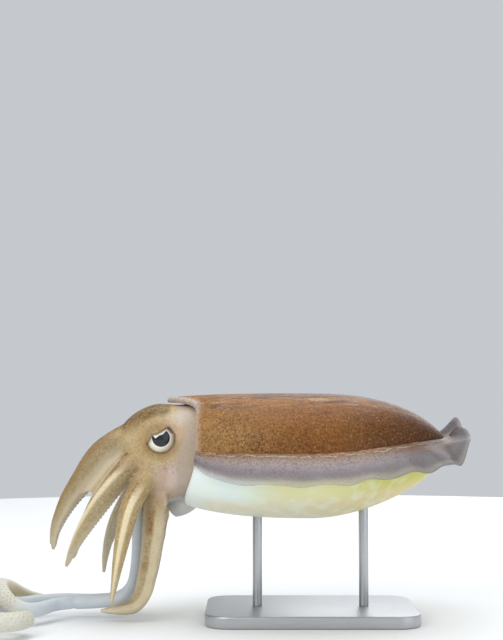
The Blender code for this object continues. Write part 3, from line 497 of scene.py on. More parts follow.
def store_colour(piece, name, values):
    """Writes a colour for each vertex, for the materials to read."""
    layer = piece.data.color_attributes.new(name, "FLOAT_COLOR", "POINT")
    rows = np.ones((len(values), 4))
    rows[:, :values.shape[1]] = values
    layer.data.foreach_set("color", rows.ravel())


def finish_piece(piece, material, nodes=()):
    """Shades the piece smooth, gives it its material, hangs it from the root body and hides the CAD parts
    that it replaces.
    """
    piece.data.materials.clear()
    piece.data.materials.append(material)
    piece.data.shade_smooth()
    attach(piece, "root")
    if nodes:
        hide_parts(*nodes)


# Materials

class Value:
    """A socket in a Python sum. Each sum adds one Math node."""

    def __init__(self, finish, socket):
        self.finish = finish
        self.socket = socket

    def _sum(self, operation, first, second):
        return self.finish.node("ShaderNodeMath", {"operation": operation}, {0: first, 1: second})

    def __add__(self, other):
        return self._sum("ADD", self, other)

    __radd__ = __add__

    def __mul__(self, other):
        return self._sum("MULTIPLY", self, other)

    __rmul__ = __mul__

    def __sub__(self, other):
        return self._sum("SUBTRACT", self, other)

    def __rsub__(self, other):
        return self._sum("SUBTRACT", other, self)

    def __pow__(self, other):
        return self._sum("POWER", self, other)

    def least(self, other):
        return self._sum("MINIMUM", self, other)

    def most(self, other):
        return self._sum("MAXIMUM", self, other)

    def between(self, low, high):
        """0 below low and 1 above high, with a soft step. Low may be the larger."""
        return self.finish.node("ShaderNodeMapRange", {"interpolation_type": "SMOOTHSTEP"},
                                {"Value": self, "From Min": low, "From Max": high})


class Finish:
    """One material, with a single way to add its nodes."""

    def __init__(self, name, roughness=0.5, metallic=0.0, coat=0.0):
        self.material = bpy.data.materials.new(name)
        self.material.use_nodes = True
        self.tree = self.material.node_tree
        self.shader = self.tree.nodes["Principled BSDF"]
        self.shader.inputs["Roughness"].default_value = roughness
        self.shader.inputs["Metallic"].default_value = metallic
        self.shader.inputs["Coat Weight"].default_value = coat
        self.shader.inputs["Coat Roughness"].default_value = 0.12
        self.place = self.node("ShaderNodeTexCoord", output="Object")

    def node(self, kind, settings=None, inputs=None, output=0):
        """Adds a node: its settings first, then the values or links of its sockets."""
        made = self.tree.nodes.new(kind)
        for key, value in (settings or {}).items():
            setattr(made, key, value)
        for key, value in (inputs or {}).items():
            socket = made.inputs[key]
            if isinstance(value, Value):
                self.tree.links.new(value.socket, socket)
            elif socket.type == "RGBA":
                socket.default_value = (*value, 1.0)
            else:
                socket.default_value = value
        return Value(self, made.outputs[output])

    def mix(self, first, second, share, blend="MIX"):
        return self.node("ShaderNodeMix", {"data_type": "RGBA", "blend_type": blend},
                         {0: share, 6: first, 7: second}, 2)

    def stretched(self, scale, turn=(0, 0, 0), of=None):
        """The piece's coordinates, or another vector, stretched and turned."""
        return self.node("ShaderNodeMapping", None,
                         {"Vector": of or self.place, "Scale": scale, "Rotation": turn})

    def noise(self, scale, detail=2.0, roughness=0.5, vector=None):
        return self.node("ShaderNodeTexNoise", None,
                         {"Vector": vector or self.place, "Scale": scale, "Detail": detail,
                          "Roughness": roughness})

    def cells(self, scale, randomness=1.0):
        return self.node("ShaderNodeTexVoronoi", None,
                         {"Vector": self.place, "Scale": scale, "Randomness": randomness}, "Distance")

    def attribute(self, name):
        return self.node("ShaderNodeAttribute", {"attribute_name": name}, output="Color")

    def parts(self, colour):
        """The red, green and blue of a colour as three values."""
        split = self.node("ShaderNodeSeparateColor", None, {0: colour})
        outputs = split.socket.node.outputs
        return [Value(self, outputs[k]) for k in range(3)]

    def axes(self):
        split = self.node("ShaderNodeSeparateXYZ", None, {0: self.place})
        outputs = split.socket.node.outputs
        return [Value(self, outputs[k]) for k in range(3)]

    def feed(self, name, value):
        self.tree.links.new(value.socket, self.shader.inputs[name])

    def bump(self, height, strength, distance):
        normal = self.node("ShaderNodeBump", None,
                           {"Strength": strength, "Distance": distance, "Height": height})
        self.feed("Normal", normal)


# Mantle

def plan_share(x):
    """The mantle's half width at x as a share of its widest."""
    rear = np.clip(1 - np.clip(x / MANTLE_REAR_X, 0, 1)**1.9, 0, 1)**(2 / 3)
    front = np.clip(1 - np.clip(-x / MANTLE_FRONT_REACH, 0, 1)**2.4, 0, 1)**(2 / 3)
    return np.where(x >= 0, rear, front)


def fin_line(x):
    """The height at which the fins leave the mantle."""
    return FIN_LINE_Z + FIN_LINE_RISE * smooth_step(x / MANTLE_REAR_X)


def mantle_points(x, angle, inset):
    """Points of the mantle's section at x, drawn in by inset, from angle 0 at the right side."""
    share = plan_share(x)
    above = np.sin(angle) >= 0
    back, belly = superellipse(angle, BACK_POWER), superellipse(angle, BELLY_POWER)
    rise = MANTLE_RISE * share**np.where(x > 0, 1.1, 0.10)
    drop = MANTLE_DROP * share**np.where(x > 0, 0.7, 0.5)
    tall = np.where(above, rise, drop) - inset
    side, up = np.where(above, back[0], belly[0]), np.where(above, back[1], belly[1])
    return np.stack([x, (MANTLE_HALF_WIDTH * share - inset) * side, fin_line(x) + tall * up], axis=-1)


def margin_x(angle):
    """Where the mantle's front edge lies: a lobe over the head, and a lower lip that reaches forward."""
    up = np.sin(angle)
    across = np.abs(np.cos(angle))**(2 / BACK_POWER)
    lobe = LOBE_REACH * (1 - smooth_step((across - 0.05) / 0.67)) * smooth_step(up / 0.4)
    return MARGIN_X - np.where(up < 0, VENTRAL_REACH * smooth_step(-up), lobe)


def ring_angles(count):
    """Angles round a section, closer together on the back and belly than at the sides."""
    turns = np.arange(count) * 2 * math.pi / count
    return turns + 0.15 * np.sin(2 * turns)


def mantle_shell():
    """The mantle with its rolled front edge and the first part of the wall inside it."""
    angle = ring_angles(MANTLE_AROUND)
    start = margin_x(angle)
    edge = start + EDGE_SETBACK
    half_lip = LIP / 2
    rings = [mantle_points(start + back, angle, LIP + inset)
             for back, inset in ((0.0105, 0.0012), (0.0060, 0.0004), (0.0030, 0.0))]
    for turn in np.radians(np.linspace(-90, 90, 11)):
        rings.append(mantle_points(edge - half_lip * math.cos(turn), angle,
                                   half_lip * (1 - math.sin(turn))))
    for i in range(1, MANTLE_ALONG):
        along = 1 - (1 - i / MANTLE_ALONG)**TAIL_CROWDING
        rings.append(mantle_points(edge + (MANTLE_REAR_X - edge) * along, angle, 0.0))
    return loft("mantle_shell", rings)


# Fins

def fin_frame(count):
    """The right fin's root, its outward directions and the share of its length, from front to tail."""
    along = 1 - (1 - np.linspace(0, 1, count))**TAIL_CROWDING
    x = MARGIN_X + (FIN_END_X - MARGIN_X) * along
    root = mantle_points(x, np.zeros(count), 0.0)
    root[:, 1] = np.maximum(root[:, 1], 2 * FIN_APART)
    steps = np.linalg.norm(np.diff(root[:, :2], axis=0), axis=1)
    shares = np.concatenate([[0], np.cumsum(steps)]) / steps.sum()
    even = np.linspace(0, 1, count)
    root = np.stack([np.interp(even, shares, root[:, k]) for k in range(3)], axis=1)
    run = np.gradient(root[:, :2], axis=0)
    out = unit(np.stack([-run[:, 1], run[:, 0]], axis=1))
    # At the tail's end both fins point straight back
    turn = smooth_step((even - 0.955) / 0.045)[:, None]
    out = unit(out * (1 - turn) + np.array([1.0, 0.0]) * turn)
    return root, out, even


def fin_shell(name, side, ripple):
    """One fin: a thin closed sheet, thick where it leaves the mantle and softly ruffled at its edge."""
    root, out, share = fin_frame(FIN_ALONG)
    width, drop = profile(FIN_WIDTHS, share), profile(FIN_DROPS["right" if side > 0 else "left"], share)
    across = np.linspace(0, 1, FIN_ACROSS)**0.85
    across[0] = FIN_ROOT_SHARE
    # Wide waves and a fine ruffle, both calmed at the tail's end
    wave = np.sin(FIN_WAVES * 2 * math.pi * share**1.3) * (0.12 + share**2)
    ruffle = np.sin(61 * share + 1.3 * np.sin(23 * share)) * (0.25 + 0.75 * smooth_step((share - 0.5) / 0.3))
    calm = 1 - smooth_step((share - 0.94) / 0.05)
    # The drop grows outwards by this power, late along the side and early at the tail's end
    power = 1.3 - 0.5 * smooth_step((share - 0.92) / 0.08)
    tops, unders = [], []
    for r in across:
        held = max(r, 0.0)
        reach = FIN_ROOT_GAP + width * r
        x = root[:, 0] + out[:, 0] * reach
        y = root[:, 1] + out[:, 1] * reach
        y = side * np.where(r > 0, np.maximum(y, FIN_APART), y)
        z = (root[:, 2] - drop * held**power + FIN_WAVE * held**2 * wave * calm
             + ripple * held**3 * ruffle * calm)
        # Half the thickness is measured up and down, so it grows with the slope
        slope = np.minimum(np.hypot(1.0, power * drop * max(held, 0.05)**(power - 1) / width), 1.9)
        half = (0.00030 + 0.0009 * (1 - held)) * slope + 0.0011 * (1 - smooth_step(held / 0.22))
        tops.append(np.stack([x, y, z + half], axis=1))
        unders.append(np.stack([x, y, z - half], axis=1))
    piece = loft_strip(name, tops + unders[::-1])
    outward = np.maximum(across, 0.0)
    outward = np.repeat(np.concatenate([outward, outward[::-1]]), FIN_ALONG)
    along = np.tile(share, 2 * FIN_ACROSS)
    on_top = np.repeat([1.0, 0.0], FIN_ACROSS * FIN_ALONG)
    store_colour(piece, "fin_place", np.stack([along, outward, on_top], axis=1))
    return piece


# Head

def head_shell():
    """The head with its neck, which reaches into the mantle."""
    angle = ring_angles(HEAD_AROUND)
    keys = [mantle_points(np.full(HEAD_AROUND, x), angle, NECK_INSET) for x in NECK_X]
    for top, bottom, half in HEAD_RINGS:
        top, bottom = np.array([top[0], 0.0, top[1]]), np.array([bottom[0], 0.0, bottom[1]])
        side, up = superellipse(angle, BACK_POWER)
        keys.append((top + bottom) / 2 + (top - bottom) / 2 * up[:, None]
                    + np.array([0.0, 1.0, 0.0]) * half * side[:, None])
    return loft("head_shell", catmull_rom(keys, 10))


def eye_centre(side):
    return EYE_CENTRE * (1, side, 1)


def lid_ball(side):
    """The swelling that the lids cover."""
    deselect_all()
    bpy.ops.mesh.primitive_uv_sphere_add(segments=48, ring_count=32, radius=LID_BALL,
                                         location=eye_centre(side))
    bpy.ops.transform.resize(value=(1.0, 1.0, LID_BALL_TALL))
    bpy.ops.object.transform_apply(location=True, rotation=True, scale=True)
    return bpy.context.object


def upper_lid(u):
    """The height of the upper lid's edge across the eye."""
    return np.interp(u, *np.transpose(LID_EDGE))


def eye_opening(count):
    """The opening's outline across the eye: round, with the slanting upper lid laid over it."""
    turn = np.arange(count) * 2 * math.pi / count
    u, v = OPENING_BACK + OPENING_RADIUS * np.cos(turn), OPENING_RADIUS * np.sin(turn)
    over = v - (upper_lid(u) - LID_SOFTNESS)
    return u, np.where(over > 0, v - over + LID_SOFTNESS * (1 - np.exp(-over / LID_SOFTNESS)), v)


def socket_cutter(side):
    """The shape that opens the lids: a ball for the eye, and a plug that widens outwards."""
    deselect_all()
    middle = eye_centre(side)
    bpy.ops.mesh.primitive_uv_sphere_add(segments=64, ring_count=40, radius=EYE_RADIUS + SOCKET_GAP,
                                         location=middle)
    bpy.ops.object.transform_apply(location=True, rotation=True, scale=True)
    ball = bpy.context.object
    u, v = eye_opening(64)
    rings = [np.stack([middle[0] + u * grow, np.full(len(u), middle[1] + side * out), middle[2] + v * grow],
                      axis=1)
             for grow, out in PLUG_RINGS]
    return ball, loft(f"lid_plug_{side}", rings)


def lid_rim(side):
    """A soft roll of skin round the opening, fuller along the upper lid."""
    u, v = eye_opening(96)
    middle = eye_centre(side)
    rest = np.sqrt(np.maximum((EYE_RADIUS + 0.0005)**2 - u**2 - v**2, 0))
    path = np.stack([middle[0] + u * RIM_GROWTH, middle[1] + side * (rest + 0.0001),
                     middle[2] + v * RIM_GROWTH], axis=1)
    ahead = unit(np.roll(path, -1, axis=0) - np.roll(path, 1, axis=0))
    out = unit(path - middle)
    across = np.cross(ahead, out)
    thick = RIM_RADIUS + RIM_EXTRA * smooth_step((v + 0.001) / 0.004)
    lines = [path + (out * math.cos(turn) + across * math.sin(turn)) * thick[:, None]
             for turn in np.arange(14) * 2 * math.pi / 14]
    return loft(f"lid_rim_{side}", np.stack(lines, axis=1), closed_along=True)


# Funnel and mouth

def funnel_frame():
    """The way that the funnel points, and the way up across it."""
    ahead = unit(FUNNEL_TIP - FUNNEL_BACK)
    up = np.cross(ahead, (0.0, 1.0, 0.0))
    return ahead, up if up[2] > 0 else -up


def funnel_ring(share, wide, tall):
    """A ring at this share of the way from the funnel's back to its tip."""
    up = funnel_frame()[1]
    turn = np.arange(FUNNEL_AROUND) * 2 * math.pi / FUNNEL_AROUND
    centre = FUNNEL_BACK + (FUNNEL_TIP - FUNNEL_BACK) * share
    return (centre + up * tall * np.sin(turn)[:, None]
            + np.array([0.0, 1.0, 0.0]) * wide * np.cos(turn)[:, None])


def funnel_shell():
    """A soft cone that narrows forwards from inside the head, with a slightly drawn-in rim."""
    rings = []
    for share in np.linspace(-0.25, 1.0, 22):
        held = max(share, 0.0)
        wide = FUNNEL_HALF_WIDTHS[0] * (1 - held) + FUNNEL_HALF_WIDTHS[1] * held
        tall = FUNNEL_HALF_HEIGHTS[0] * (1 - held) + FUNNEL_HALF_HEIGHTS[1] * held
        swell = 1 + 0.10 * math.sin(math.pi * held) - 0.12 * smooth_step((held - 0.9) / 0.1)
        rings.append(funnel_ring(share, wide * swell, tall * swell))
    return loft("funnel_shell", rings)


def funnel_bore():
    """The shape that opens the funnel's end."""
    rings = []
    for share in np.linspace(0.45, 1.25, 9):
        radius = FUNNEL_BORE * (0.72 + 0.30 * smooth_step((share - 0.45) / 0.55))
        rings.append(funnel_ring(share, radius * 1.05, radius))
    return loft("funnel_bore", rings)


def mouth_ring(wide, along, folds=0.0, narrow=1.0):
    """A ring of the lips or beak, which point forwards and down between the arms."""
    ahead = unit(unit(CORE_FOOT - CORE_TOP) + np.array([-1.6, 0.0, 0.0]))
    up = np.cross((0.0, 1.0, 0.0), ahead)
    turn = np.arange(MOUTH_AROUND) * 2 * math.pi / MOUTH_AROUND
    reach = MOUTH_RADIUS * wide * (1 + folds * np.cos(LIP_FOLDS * turn))
    return (MOUTH_CENTRE + ahead * MOUTH_RADIUS * along + up * (reach * np.sin(turn))[:, None]
            + np.array([0.0, 1.0, 0.0]) * narrow * (reach * np.cos(turn))[:, None])


# Arms and tentacles

def limb_shell(name, limb, along, around, keel=0.0, wavy=False):
    """A tapering limb with a rounded tip, and a keel along its outer side where it has one."""
    rings = []
    turn = np.arange(around) * 2 * math.pi / around
    for share in np.linspace(0, 1, along):
        ridge = keel * np.exp(-((turn - math.pi) / KEEL_WIDTH)**2)
        if wavy:
            ridge = ridge * (1 + KEEL_RIPPLE * math.sin(KEEL_RIPPLE_TURN * share))
        points = limb.surface(np.full(around, share), turn)
        middle = limb.at(np.full(around, share))
        rings.append(middle + (points - middle) * (1 + ridge)[:, None])
    last = rings[-1]
    tip = last.mean(axis=0)
    ahead = unit(tip - rings[-3].mean(axis=0))
    for shrink, reach in ((0.82, 0.35), (0.45, 0.62)):
        size = float(np.linalg.norm(rings[-1][0] - tip))
        rings.append(tip + (last - tip) * shrink + ahead * size * reach)
    return loft(name, rings)


def web_shell(name, first, second, reach):
    """A thin plate of skin between the roots of two neighbouring arms, with a hollowed free edge."""
    across, down = np.linspace(0, 1, 13), np.linspace(0, 1, 12)
    grid = []
    for t in down:
        share = WEB_START + (reach - WEB_START) * t * (1 - WEB_HOLLOW * np.sin(math.pi * across))
        grid.append(first.at(share) * (1 - across)[:, None] + second.at(share) * across[:, None])
    grid = np.array(grid)
    normal = unit(np.cross(np.gradient(grid, axis=0), np.gradient(grid, axis=1)))
    top, under = grid + normal * WEB_HALF, grid - normal * WEB_HALF
    return loft_strip(name, [*top, *under[::-1]])


def flesh_shell(voxel, smoothing):
    """Head, lids, funnel, arms and tentacles grown together into one soft shell."""
    pieces = [head_shell(), funnel_shell(), lid_ball(1), lid_ball(-1)]
    for name, limb in ARMS.items():
        pieces.append(limb_shell(f"arm_{name}", limb, ARM_ALONG, ARM_AROUND, KEELS[name[0]], name[0] == "4"))
    for name, limb in TENTACLES.items():
        pieces.append(limb_shell(f"tentacle_{name}", limb, TENTACLE_ALONG, TENTACLE_AROUND))
    for first, second, reach in WEBS:
        pieces.append(web_shell(f"web_{first}_{second}", ARMS[first], ARMS[second], reach))
    whole = joined("flesh_shell", pieces)
    whole.data.remesh_voxel_size = voxel
    whole.data.use_remesh_fix_poles = False
    bpy.ops.object.voxel_remesh()
    apply_modifier(whole, "SMOOTH", factor=0.5, iterations=smoothing)
    cutters = [*socket_cutter(1), *socket_cutter(-1), funnel_bore()]
    for cutter in cutters:
        apply_modifier(whole, "BOOLEAN", operation="DIFFERENCE", solver="MANIFOLD", object=cutter)
    for cutter in cutters:
        bpy.data.objects.remove(cutter)
    return joined("flesh_shell", [whole, lid_rim(1), lid_rim(-1)])


# Suckers

def sucker_cup():
    """One cup with a raised rim and a hollow middle, of unit radius and facing up."""
    deselect_all()
    bpy.ops.mesh.primitive_circle_add(vertices=8, radius=0.62, fill_type="NGON", location=(0, 0, -0.6))
    cup = bpy.context.object
    bpy.ops.object.mode_set(mode="EDIT")
    bpy.ops.mesh.select_all(action="SELECT")
    for rise, growth in CUP_STEPS:
        bpy.ops.mesh.extrude_region_move(TRANSFORM_OT_translate={"value": (0, 0, rise)})
        bpy.ops.transform.resize(value=(growth, growth, 1), center_override=(0, 0, 0))
    bpy.ops.mesh.inset(thickness=0.22, depth=0)
    bpy.ops.mesh.extrude_region_move(TRANSFORM_OT_translate={"value": (0, 0, -0.5)})
    bpy.ops.transform.resize(value=(0.7, 0.7, 1), center_override=(0, 0, 0))
    bpy.ops.object.mode_set(mode="OBJECT")
    bpy.ops.object.transform_apply(location=True, rotation=True, scale=True)
    cup.name = "sucker_cup"
    return cup


def stamp(name, cup, centres, outs, sizes):
    """Copies of one cup, each at its centre, turned to its direction and scaled to its size."""
    points = coordinates(cup)
    faces = [tuple(face.vertices) for face in cup.data.polygons]
    side = unit(np.cross(outs, (0.31, 0.94, 0.13)))
    other = np.cross(outs, side)
    basis = np.stack([side, other, outs], axis=1)
    placed = np.einsum("vk,nkd->nvd", points, basis) * sizes[:, None, None] + centres[:, None, :]
    step = len(points)
    copies = [tuple(v + n * step for v in face) for n in range(len(centres)) for face in faces]
    return mesh_piece(name, placed.reshape(-1, 3), copies)


def sucker_places(limb, kind, start, columns, largest):
    """Centres, directions and sizes of the suckers, in staggered rows on a limb's inner side."""
    rows, smallest = SUCKER_ROWS[kind], largest * SUCKER_TAPER[kind]
    share, angle, size = [], [], []
    for i in range(columns):
        for row in range(rows):
            step = (i + 0.5 * (row % 2)) / columns
            share.append(start + (SUCKER_END - start) * (1 - (1 - step)**SUCKER_CROWDING))
            lean = (row - (rows - 1) / 2) / ((rows - 1) / 2)
            angle.append(SUCKER_SPREAD[kind] * lean)
            size.append((largest + (smallest - largest) * step) * (1 - SUCKER_SIDE_SHRINK * abs(lean)))
    share, angle, size = np.array(share), np.array(angle), np.array(size)
    inner, across = limb.frame(share)[1:]
    section = profile(limb.sections, share)
    out = unit(inner * np.cos(angle)[:, None] / section[:, :1]
               + across * np.sin(angle)[:, None] / section[:, 1:])
    return limb.surface(share, angle) + out * size[:, None] * SUCKER_LIFT, out, size


# Large-scale colours, painted on the skin's points

def blend(first, second, share):
    """One colour, or one for each point, mixed with another by its share."""
    share = np.asarray(share)[..., None]
    return np.asarray(first) * (1 - share) + np.asarray(second) * share


def wobble(points, scale, seed):
    """A slow, smooth variation between -1 and 1."""
    x, y, z = (points * scale).T
    return (np.sin(x + 1.7 * seed + 1.3 * np.sin(y * 0.9 + seed))
            + np.sin(y * 1.1 - seed + np.sin(z + 2 * seed))
            + np.sin(z * 0.8 + x * 0.5 + 3 * seed)) / 3


def spot(points, centre, reach, soft=0.5):
    """1 inside a round patch about the centre and 0 outside, with a soft edge."""
    away = np.linalg.norm((points - np.asarray(centre)) / np.asarray(reach), axis=1)
    return 1 - smooth_step((away - (1 - soft)) / (2 * soft))


# Colours of the mantle. Front, middle and rear run from the head to the tail
MANTLE_PAINT = {
    "back_middle": (0.27, 0.105, 0.022),
    "back_rear": (0.076, 0.026, 0.007),
    "margin_front": (0.40, 0.225, 0.075),
    "margin_middle": (0.25, 0.102, 0.024),
    "margin_rear": (0.088, 0.030, 0.008),
    "gold": (0.42, 0.180, 0.036),
    "band": (0.052, 0.019, 0.007),
    "grey": (0.180, 0.095, 0.075),
    "spot": (0.66, 0.46, 0.22),
    "lobe": (0.40, 0.32, 0.27),
    "rim": (0.62, 0.54, 0.50),
    "side_front": (0.36, 0.24, 0.14),
    "side_rear": (0.17, 0.095, 0.055),
    "belly_middle": (0.80, 0.78, 0.43),
    "belly_rear": (0.63, 0.595, 0.165),
    "belly_front": (0.84, 0.92, 0.88),
    "underside_front": (0.82, 0.78, 0.58),
    "underside_rear": (0.72, 0.61, 0.30),
}
BACK_SPOTS = ((0.0035, -0.0235, 0.108), (-0.0065, 0.0265, 0.107))
BACK_SPOT_REACH = (0.0042, 0.00336, 0.012)


def back_colours(p, along, across, aslant, grey, slow, look):
    """Golden brown that darkens towards the tail, with two dark bands, a grey one and two pale spots."""
    found = blend(look.back_colour, MANTLE_PAINT["back_middle"], smooth_step((along - 0.04) / 0.45))
    found = blend(found, MANTLE_PAINT["back_rear"], smooth_step((along - 0.50) / 0.45))
    margin = blend(MANTLE_PAINT["margin_front"], MANTLE_PAINT["margin_middle"],
                   smooth_step((along - 0.05) / 0.35))
    margin = blend(margin, MANTLE_PAINT["margin_rear"], smooth_step((along - 0.45) / 0.45))
    found = blend(found, margin, 0.8 * smooth_step((across - 0.74 + 0.05 * slow) / 0.24))
    golden = smooth_step((0.72 - across) / 0.25) * (1 - 0.6 * smooth_step((along - 0.55) / 0.4))
    found = blend(found, MANTLE_PAINT["gold"], 0.75 * golden)
    left_band = np.exp(-((aslant + 0.22) / 0.18)**2) * smooth_step((along - 0.06) / 0.30)
    right_band = np.exp(-((aslant - 0.38) / 0.10)**2) * smooth_step((along - 0.22) / 0.20)
    bands = np.clip(left_band + 0.8 * right_band * smooth_step((0.92 - along) / 0.3), 0, 1)
    found = blend(found, MANTLE_PAINT["band"], 0.82 * bands * (0.8 + 0.2 * slow))
    found = blend(found, MANTLE_PAINT["grey"], 0.55 * grey)
    for place in BACK_SPOTS:
        found = blend(found, MANTLE_PAINT["spot"], 0.6 * spot(p, place, BACK_SPOT_REACH))
    return found


def belly_colours(back, low, line, along, look):
    """Below the fin line: a dark edge under the back, then mint that turns olive, and cream underneath."""
    side = blend(MANTLE_PAINT["side_front"], MANTLE_PAINT["side_rear"], smooth_step((along - 0.1) / 0.6))
    found = blend(back, side, smooth_step((line + 0.0005 - low) / 0.003))
    mint = blend(look.belly_colour, MANTLE_PAINT["belly_middle"], smooth_step((along - 0.12) / 0.25))
    mint = blend(mint, MANTLE_PAINT["belly_rear"], smooth_step((along - 0.45) / 0.35))
    under = line - 0.0025 - 0.0060 * smooth_step(along / 0.16) + 0.0035 * smooth_step((along - 0.6) / 0.4)
    found = blend(found, mint, smooth_step((under - low) / 0.0035))
    cream = blend(MANTLE_PAINT["underside_front"], MANTLE_PAINT["underside_rear"],
                  smooth_step((along - 0.2) / 0.6))
    found = blend(found, cream, smooth_step((line - 0.0195 + 0.004 * smooth_step(along) - low) / 0.0045))
    front = smooth_step((0.07 - along) / 0.10) * smooth_step((under - low) / 0.003)
    return blend(found, MANTLE_PAINT["belly_front"], 0.85 * front)


def paint_mantle(piece, look):
    """Paints the mantle, and marks where its dark cells, its long streaks and its sheen lie."""
    p = coordinates(piece)
    x, y, z = p.T
    line = fin_line(x)
    along = np.clip((x - MARGIN_X) / (MANTLE_REAR_X - MARGIN_X), -0.15, 1)
    across = np.clip(np.abs(y) / np.maximum(MANTLE_HALF_WIDTH * plan_share(x), 1e-4), 0, 1)
    height = (z - line) / MANTLE_RISE
    slow = wobble(p, 190, 1.0)
    aslant = np.sign(y) * across - 0.20 * (along - 0.5) + 0.03 * slow
    grey = np.exp(-((aslant - 0.10) / 0.17)**2) * smooth_step((along - 0.20) / 0.25)
    back = back_colours(p, along, across, aslant, grey, slow, look)
    lobe = smooth_step((-0.0585 - x) / 0.010) * (height > 0.1)
    back = blend(back, MANTLE_PAINT["lobe"], 0.5 * lobe)
    top = smooth_step((height - 0.62) / 0.25)
    edge = margin_x(np.arctan2(height * 0.9, np.sign(y) * across + 1e-9)) - x
    rim = smooth_step((edge + 0.0022 + 0.0012 * top) / 0.0024) * (height > 0.0)
    back = blend(back, MANTLE_PAINT["rim"], (0.55 + 0.25 * top) * rim)
    low = z + 0.0009 * wobble(p, 260, 2.0)
    store_colour(piece, "paint", belly_colours(back, low, line, along, look))
    above = smooth_step((low - line + 0.001) / 0.003)
    dark = (above * (0.75 + 0.25 * slow) * (1 - 0.5 * rim)
            + (1 - above) * 0.20 * smooth_step((low - line + 0.008) / 0.004))
    streak = above * smooth_step((0.86 - across) / 0.3) * smooth_step((along + 0.02) / 0.10)
    # Where the painted sheen lies: low on the belly, well below the fin line
    painted_sheen = (1 - above) * smooth_step((line - 0.012 - low) / 0.004)
    store_colour(piece, "marks", np.stack([dark, streak, painted_sheen], axis=1))
    store_colour(piece, "grain_lines", np.stack([along, aslant, grey * above], axis=1))


def limb_places(points):
    """For each point: the nearest limb, the share along it, its distance, and how far it faces inwards."""
    limbs = ARMS | {f"tentacle_{word}": limb for word, limb in TENTACLES.items()}
    steps, block_size = 150, 20000
    best = np.full(len(points), np.inf)
    number, share_at = np.zeros(len(points), int), np.zeros(len(points))
    face = np.zeros(len(points))
    for index, limb in enumerate(limbs.values()):
        share = np.linspace(0, 1, steps)
        middle, inner = limb.frame(share)[:2]
        size = profile(limb.sections, share)
        near = np.zeros(len(points), int)
        away = np.zeros(len(points))
        for start in range(0, len(points), block_size):
            block = points[start:start + block_size]
            squares = (np.sum(block**2, axis=1)[:, None] + np.sum(middle**2, axis=1)[None]
                       - 2 * block @ middle.T)
            near[start:start + block_size] = squares.argmin(axis=1)
            away[start:start + block_size] = np.sqrt(np.maximum(squares.min(axis=1), 0))
        deep, wide = size[near, 0], size[near, 1]
        along_face = np.sum((points - middle[near]) * inner[near], axis=1) / deep
        gap = away - (deep + wide) / 2
        closer = gap < best
        best = np.where(closer, gap, best)
        number = np.where(closer, index, number)
        share_at = np.where(closer, share[near], share_at)
        face = np.where(closer, along_face, face)
    return np.array(list(limbs))[number], share_at, best, face


# Each pair of arms: the colour of its outer side, and of the keel along it, which on pairs 2 and 3 is a pale
# painted highlight
ARM_COLOURS = {
    "1": ((0.42, 0.33, 0.18), (0.30, 0.19, 0.08)),
    "2": ((0.48, 0.385, 0.22), (0.94, 0.82, 0.55)),
    "3": ((0.52, 0.40, 0.20), (0.98, 0.86, 0.58)),
    "4": ((0.47, 0.375, 0.21), (0.68, 0.59, 0.40)),
}
# Colours of the clubs, and of what lies over each arm's own colour
LIMB_PAINT = {
    "club": (0.66, 0.65, 0.56),
    "club_end": (0.50, 0.51, 0.40),
    "club_outside": (0.52, 0.36, 0.15),
    "coil_middle": (0.55, 0.27, 0.09),
    "top": (0.36, 0.215, 0.085),
    "root": (0.36, 0.22, 0.09),
    "patch": (0.34, 0.20, 0.075),
    "tip": (0.70, 0.62, 0.46),
}


def tentacle_colours(p, word, share, face, look):
    """Colour and marks of one tentacle: a blue white stalk and a greyer club."""
    club = smooth_step((share - CLUB_STARTS[word] + 0.05) / 0.08)
    found = blend(look.tentacle_colour, LIMB_PAINT["club"], club)
    found = blend(found, LIMB_PAINT["club_end"], 0.6 * club * smooth_step((share - 0.85) / 0.1))
    if word == "left":
        found = blend(found, LIMB_PAINT["club_outside"], 0.55 * club * smooth_step((-0.2 - face) / 0.6))
    coil = spot(p, TENTACLES["right"].points[-1], (0.0042, 0.0042, 0.006))
    found = blend(found, LIMB_PAINT["coil_middle"], 0.7 * coil)
    # Marks: a few dark cells, no streaks, and a painted sheen at a quarter strength
    return found, np.stack([0.06 * club, 0 * club, 0.25 + 0 * club], axis=1)


def arm_colours(p, n, pair, share, face, look):
    """Colour and marks of one arm, from root to tip and from its outer to its inner side."""
    outer = smooth_step((0.15 - face) / 0.7)
    slow = wobble(p, 420, 3.0)
    side, ridge = ARM_COLOURS[pair]
    found = blend(side, look.inner_arm_colour, 1 - outer)
    upward = smooth_step((n[:, 2] + 0.05) / 0.55) * smooth_step((0.5 - face) / 0.5)
    if pair in "23":
        upward = upward * (1 - 0.85 * smooth_step((share - 0.22) / 0.22))
    found = blend(found, LIMB_PAINT["top"], 0.70 * upward * (0.8 + 0.2 * slow))
    if pair != "3":
        root = smooth_step((0.45 - share) / 0.35)
        found = blend(found, LIMB_PAINT["root"], 0.40 * outer * root * (0.6 + 0.4 * slow))
    # The keel's colour along the outermost side; on pairs 2 and 3 its pale colour is a painted highlight
    keel = smooth_step((-face - (0.66 if pair in "14" else 0.92)) / 0.20)
    found = blend(found, ridge, keel * smooth_step((share - 0.16) / 0.15) * 0.74)
    if pair == "4":
        patch = smooth_step((wobble(p, 330, 5.0) - 0.02) / 0.3) * outer * (1 - keel)
        found = blend(found, LIMB_PAINT["patch"], 0.75 * patch)
    found = blend(found, LIMB_PAINT["tip"], 0.55 * smooth_step((share - 0.72) / 0.28))
    dark = outer * (0.42 + 0.22 * upward - 0.3 * keel) * (1 - 0.6 * smooth_step((share - 0.4) / 0.5))
    # Marks: dark cells on the outer side, no streaks, and a weak painted sheen
    return found, np.stack([np.clip(dark, 0, 1), 0 * dark, 0.10 + 0 * dark], axis=1)
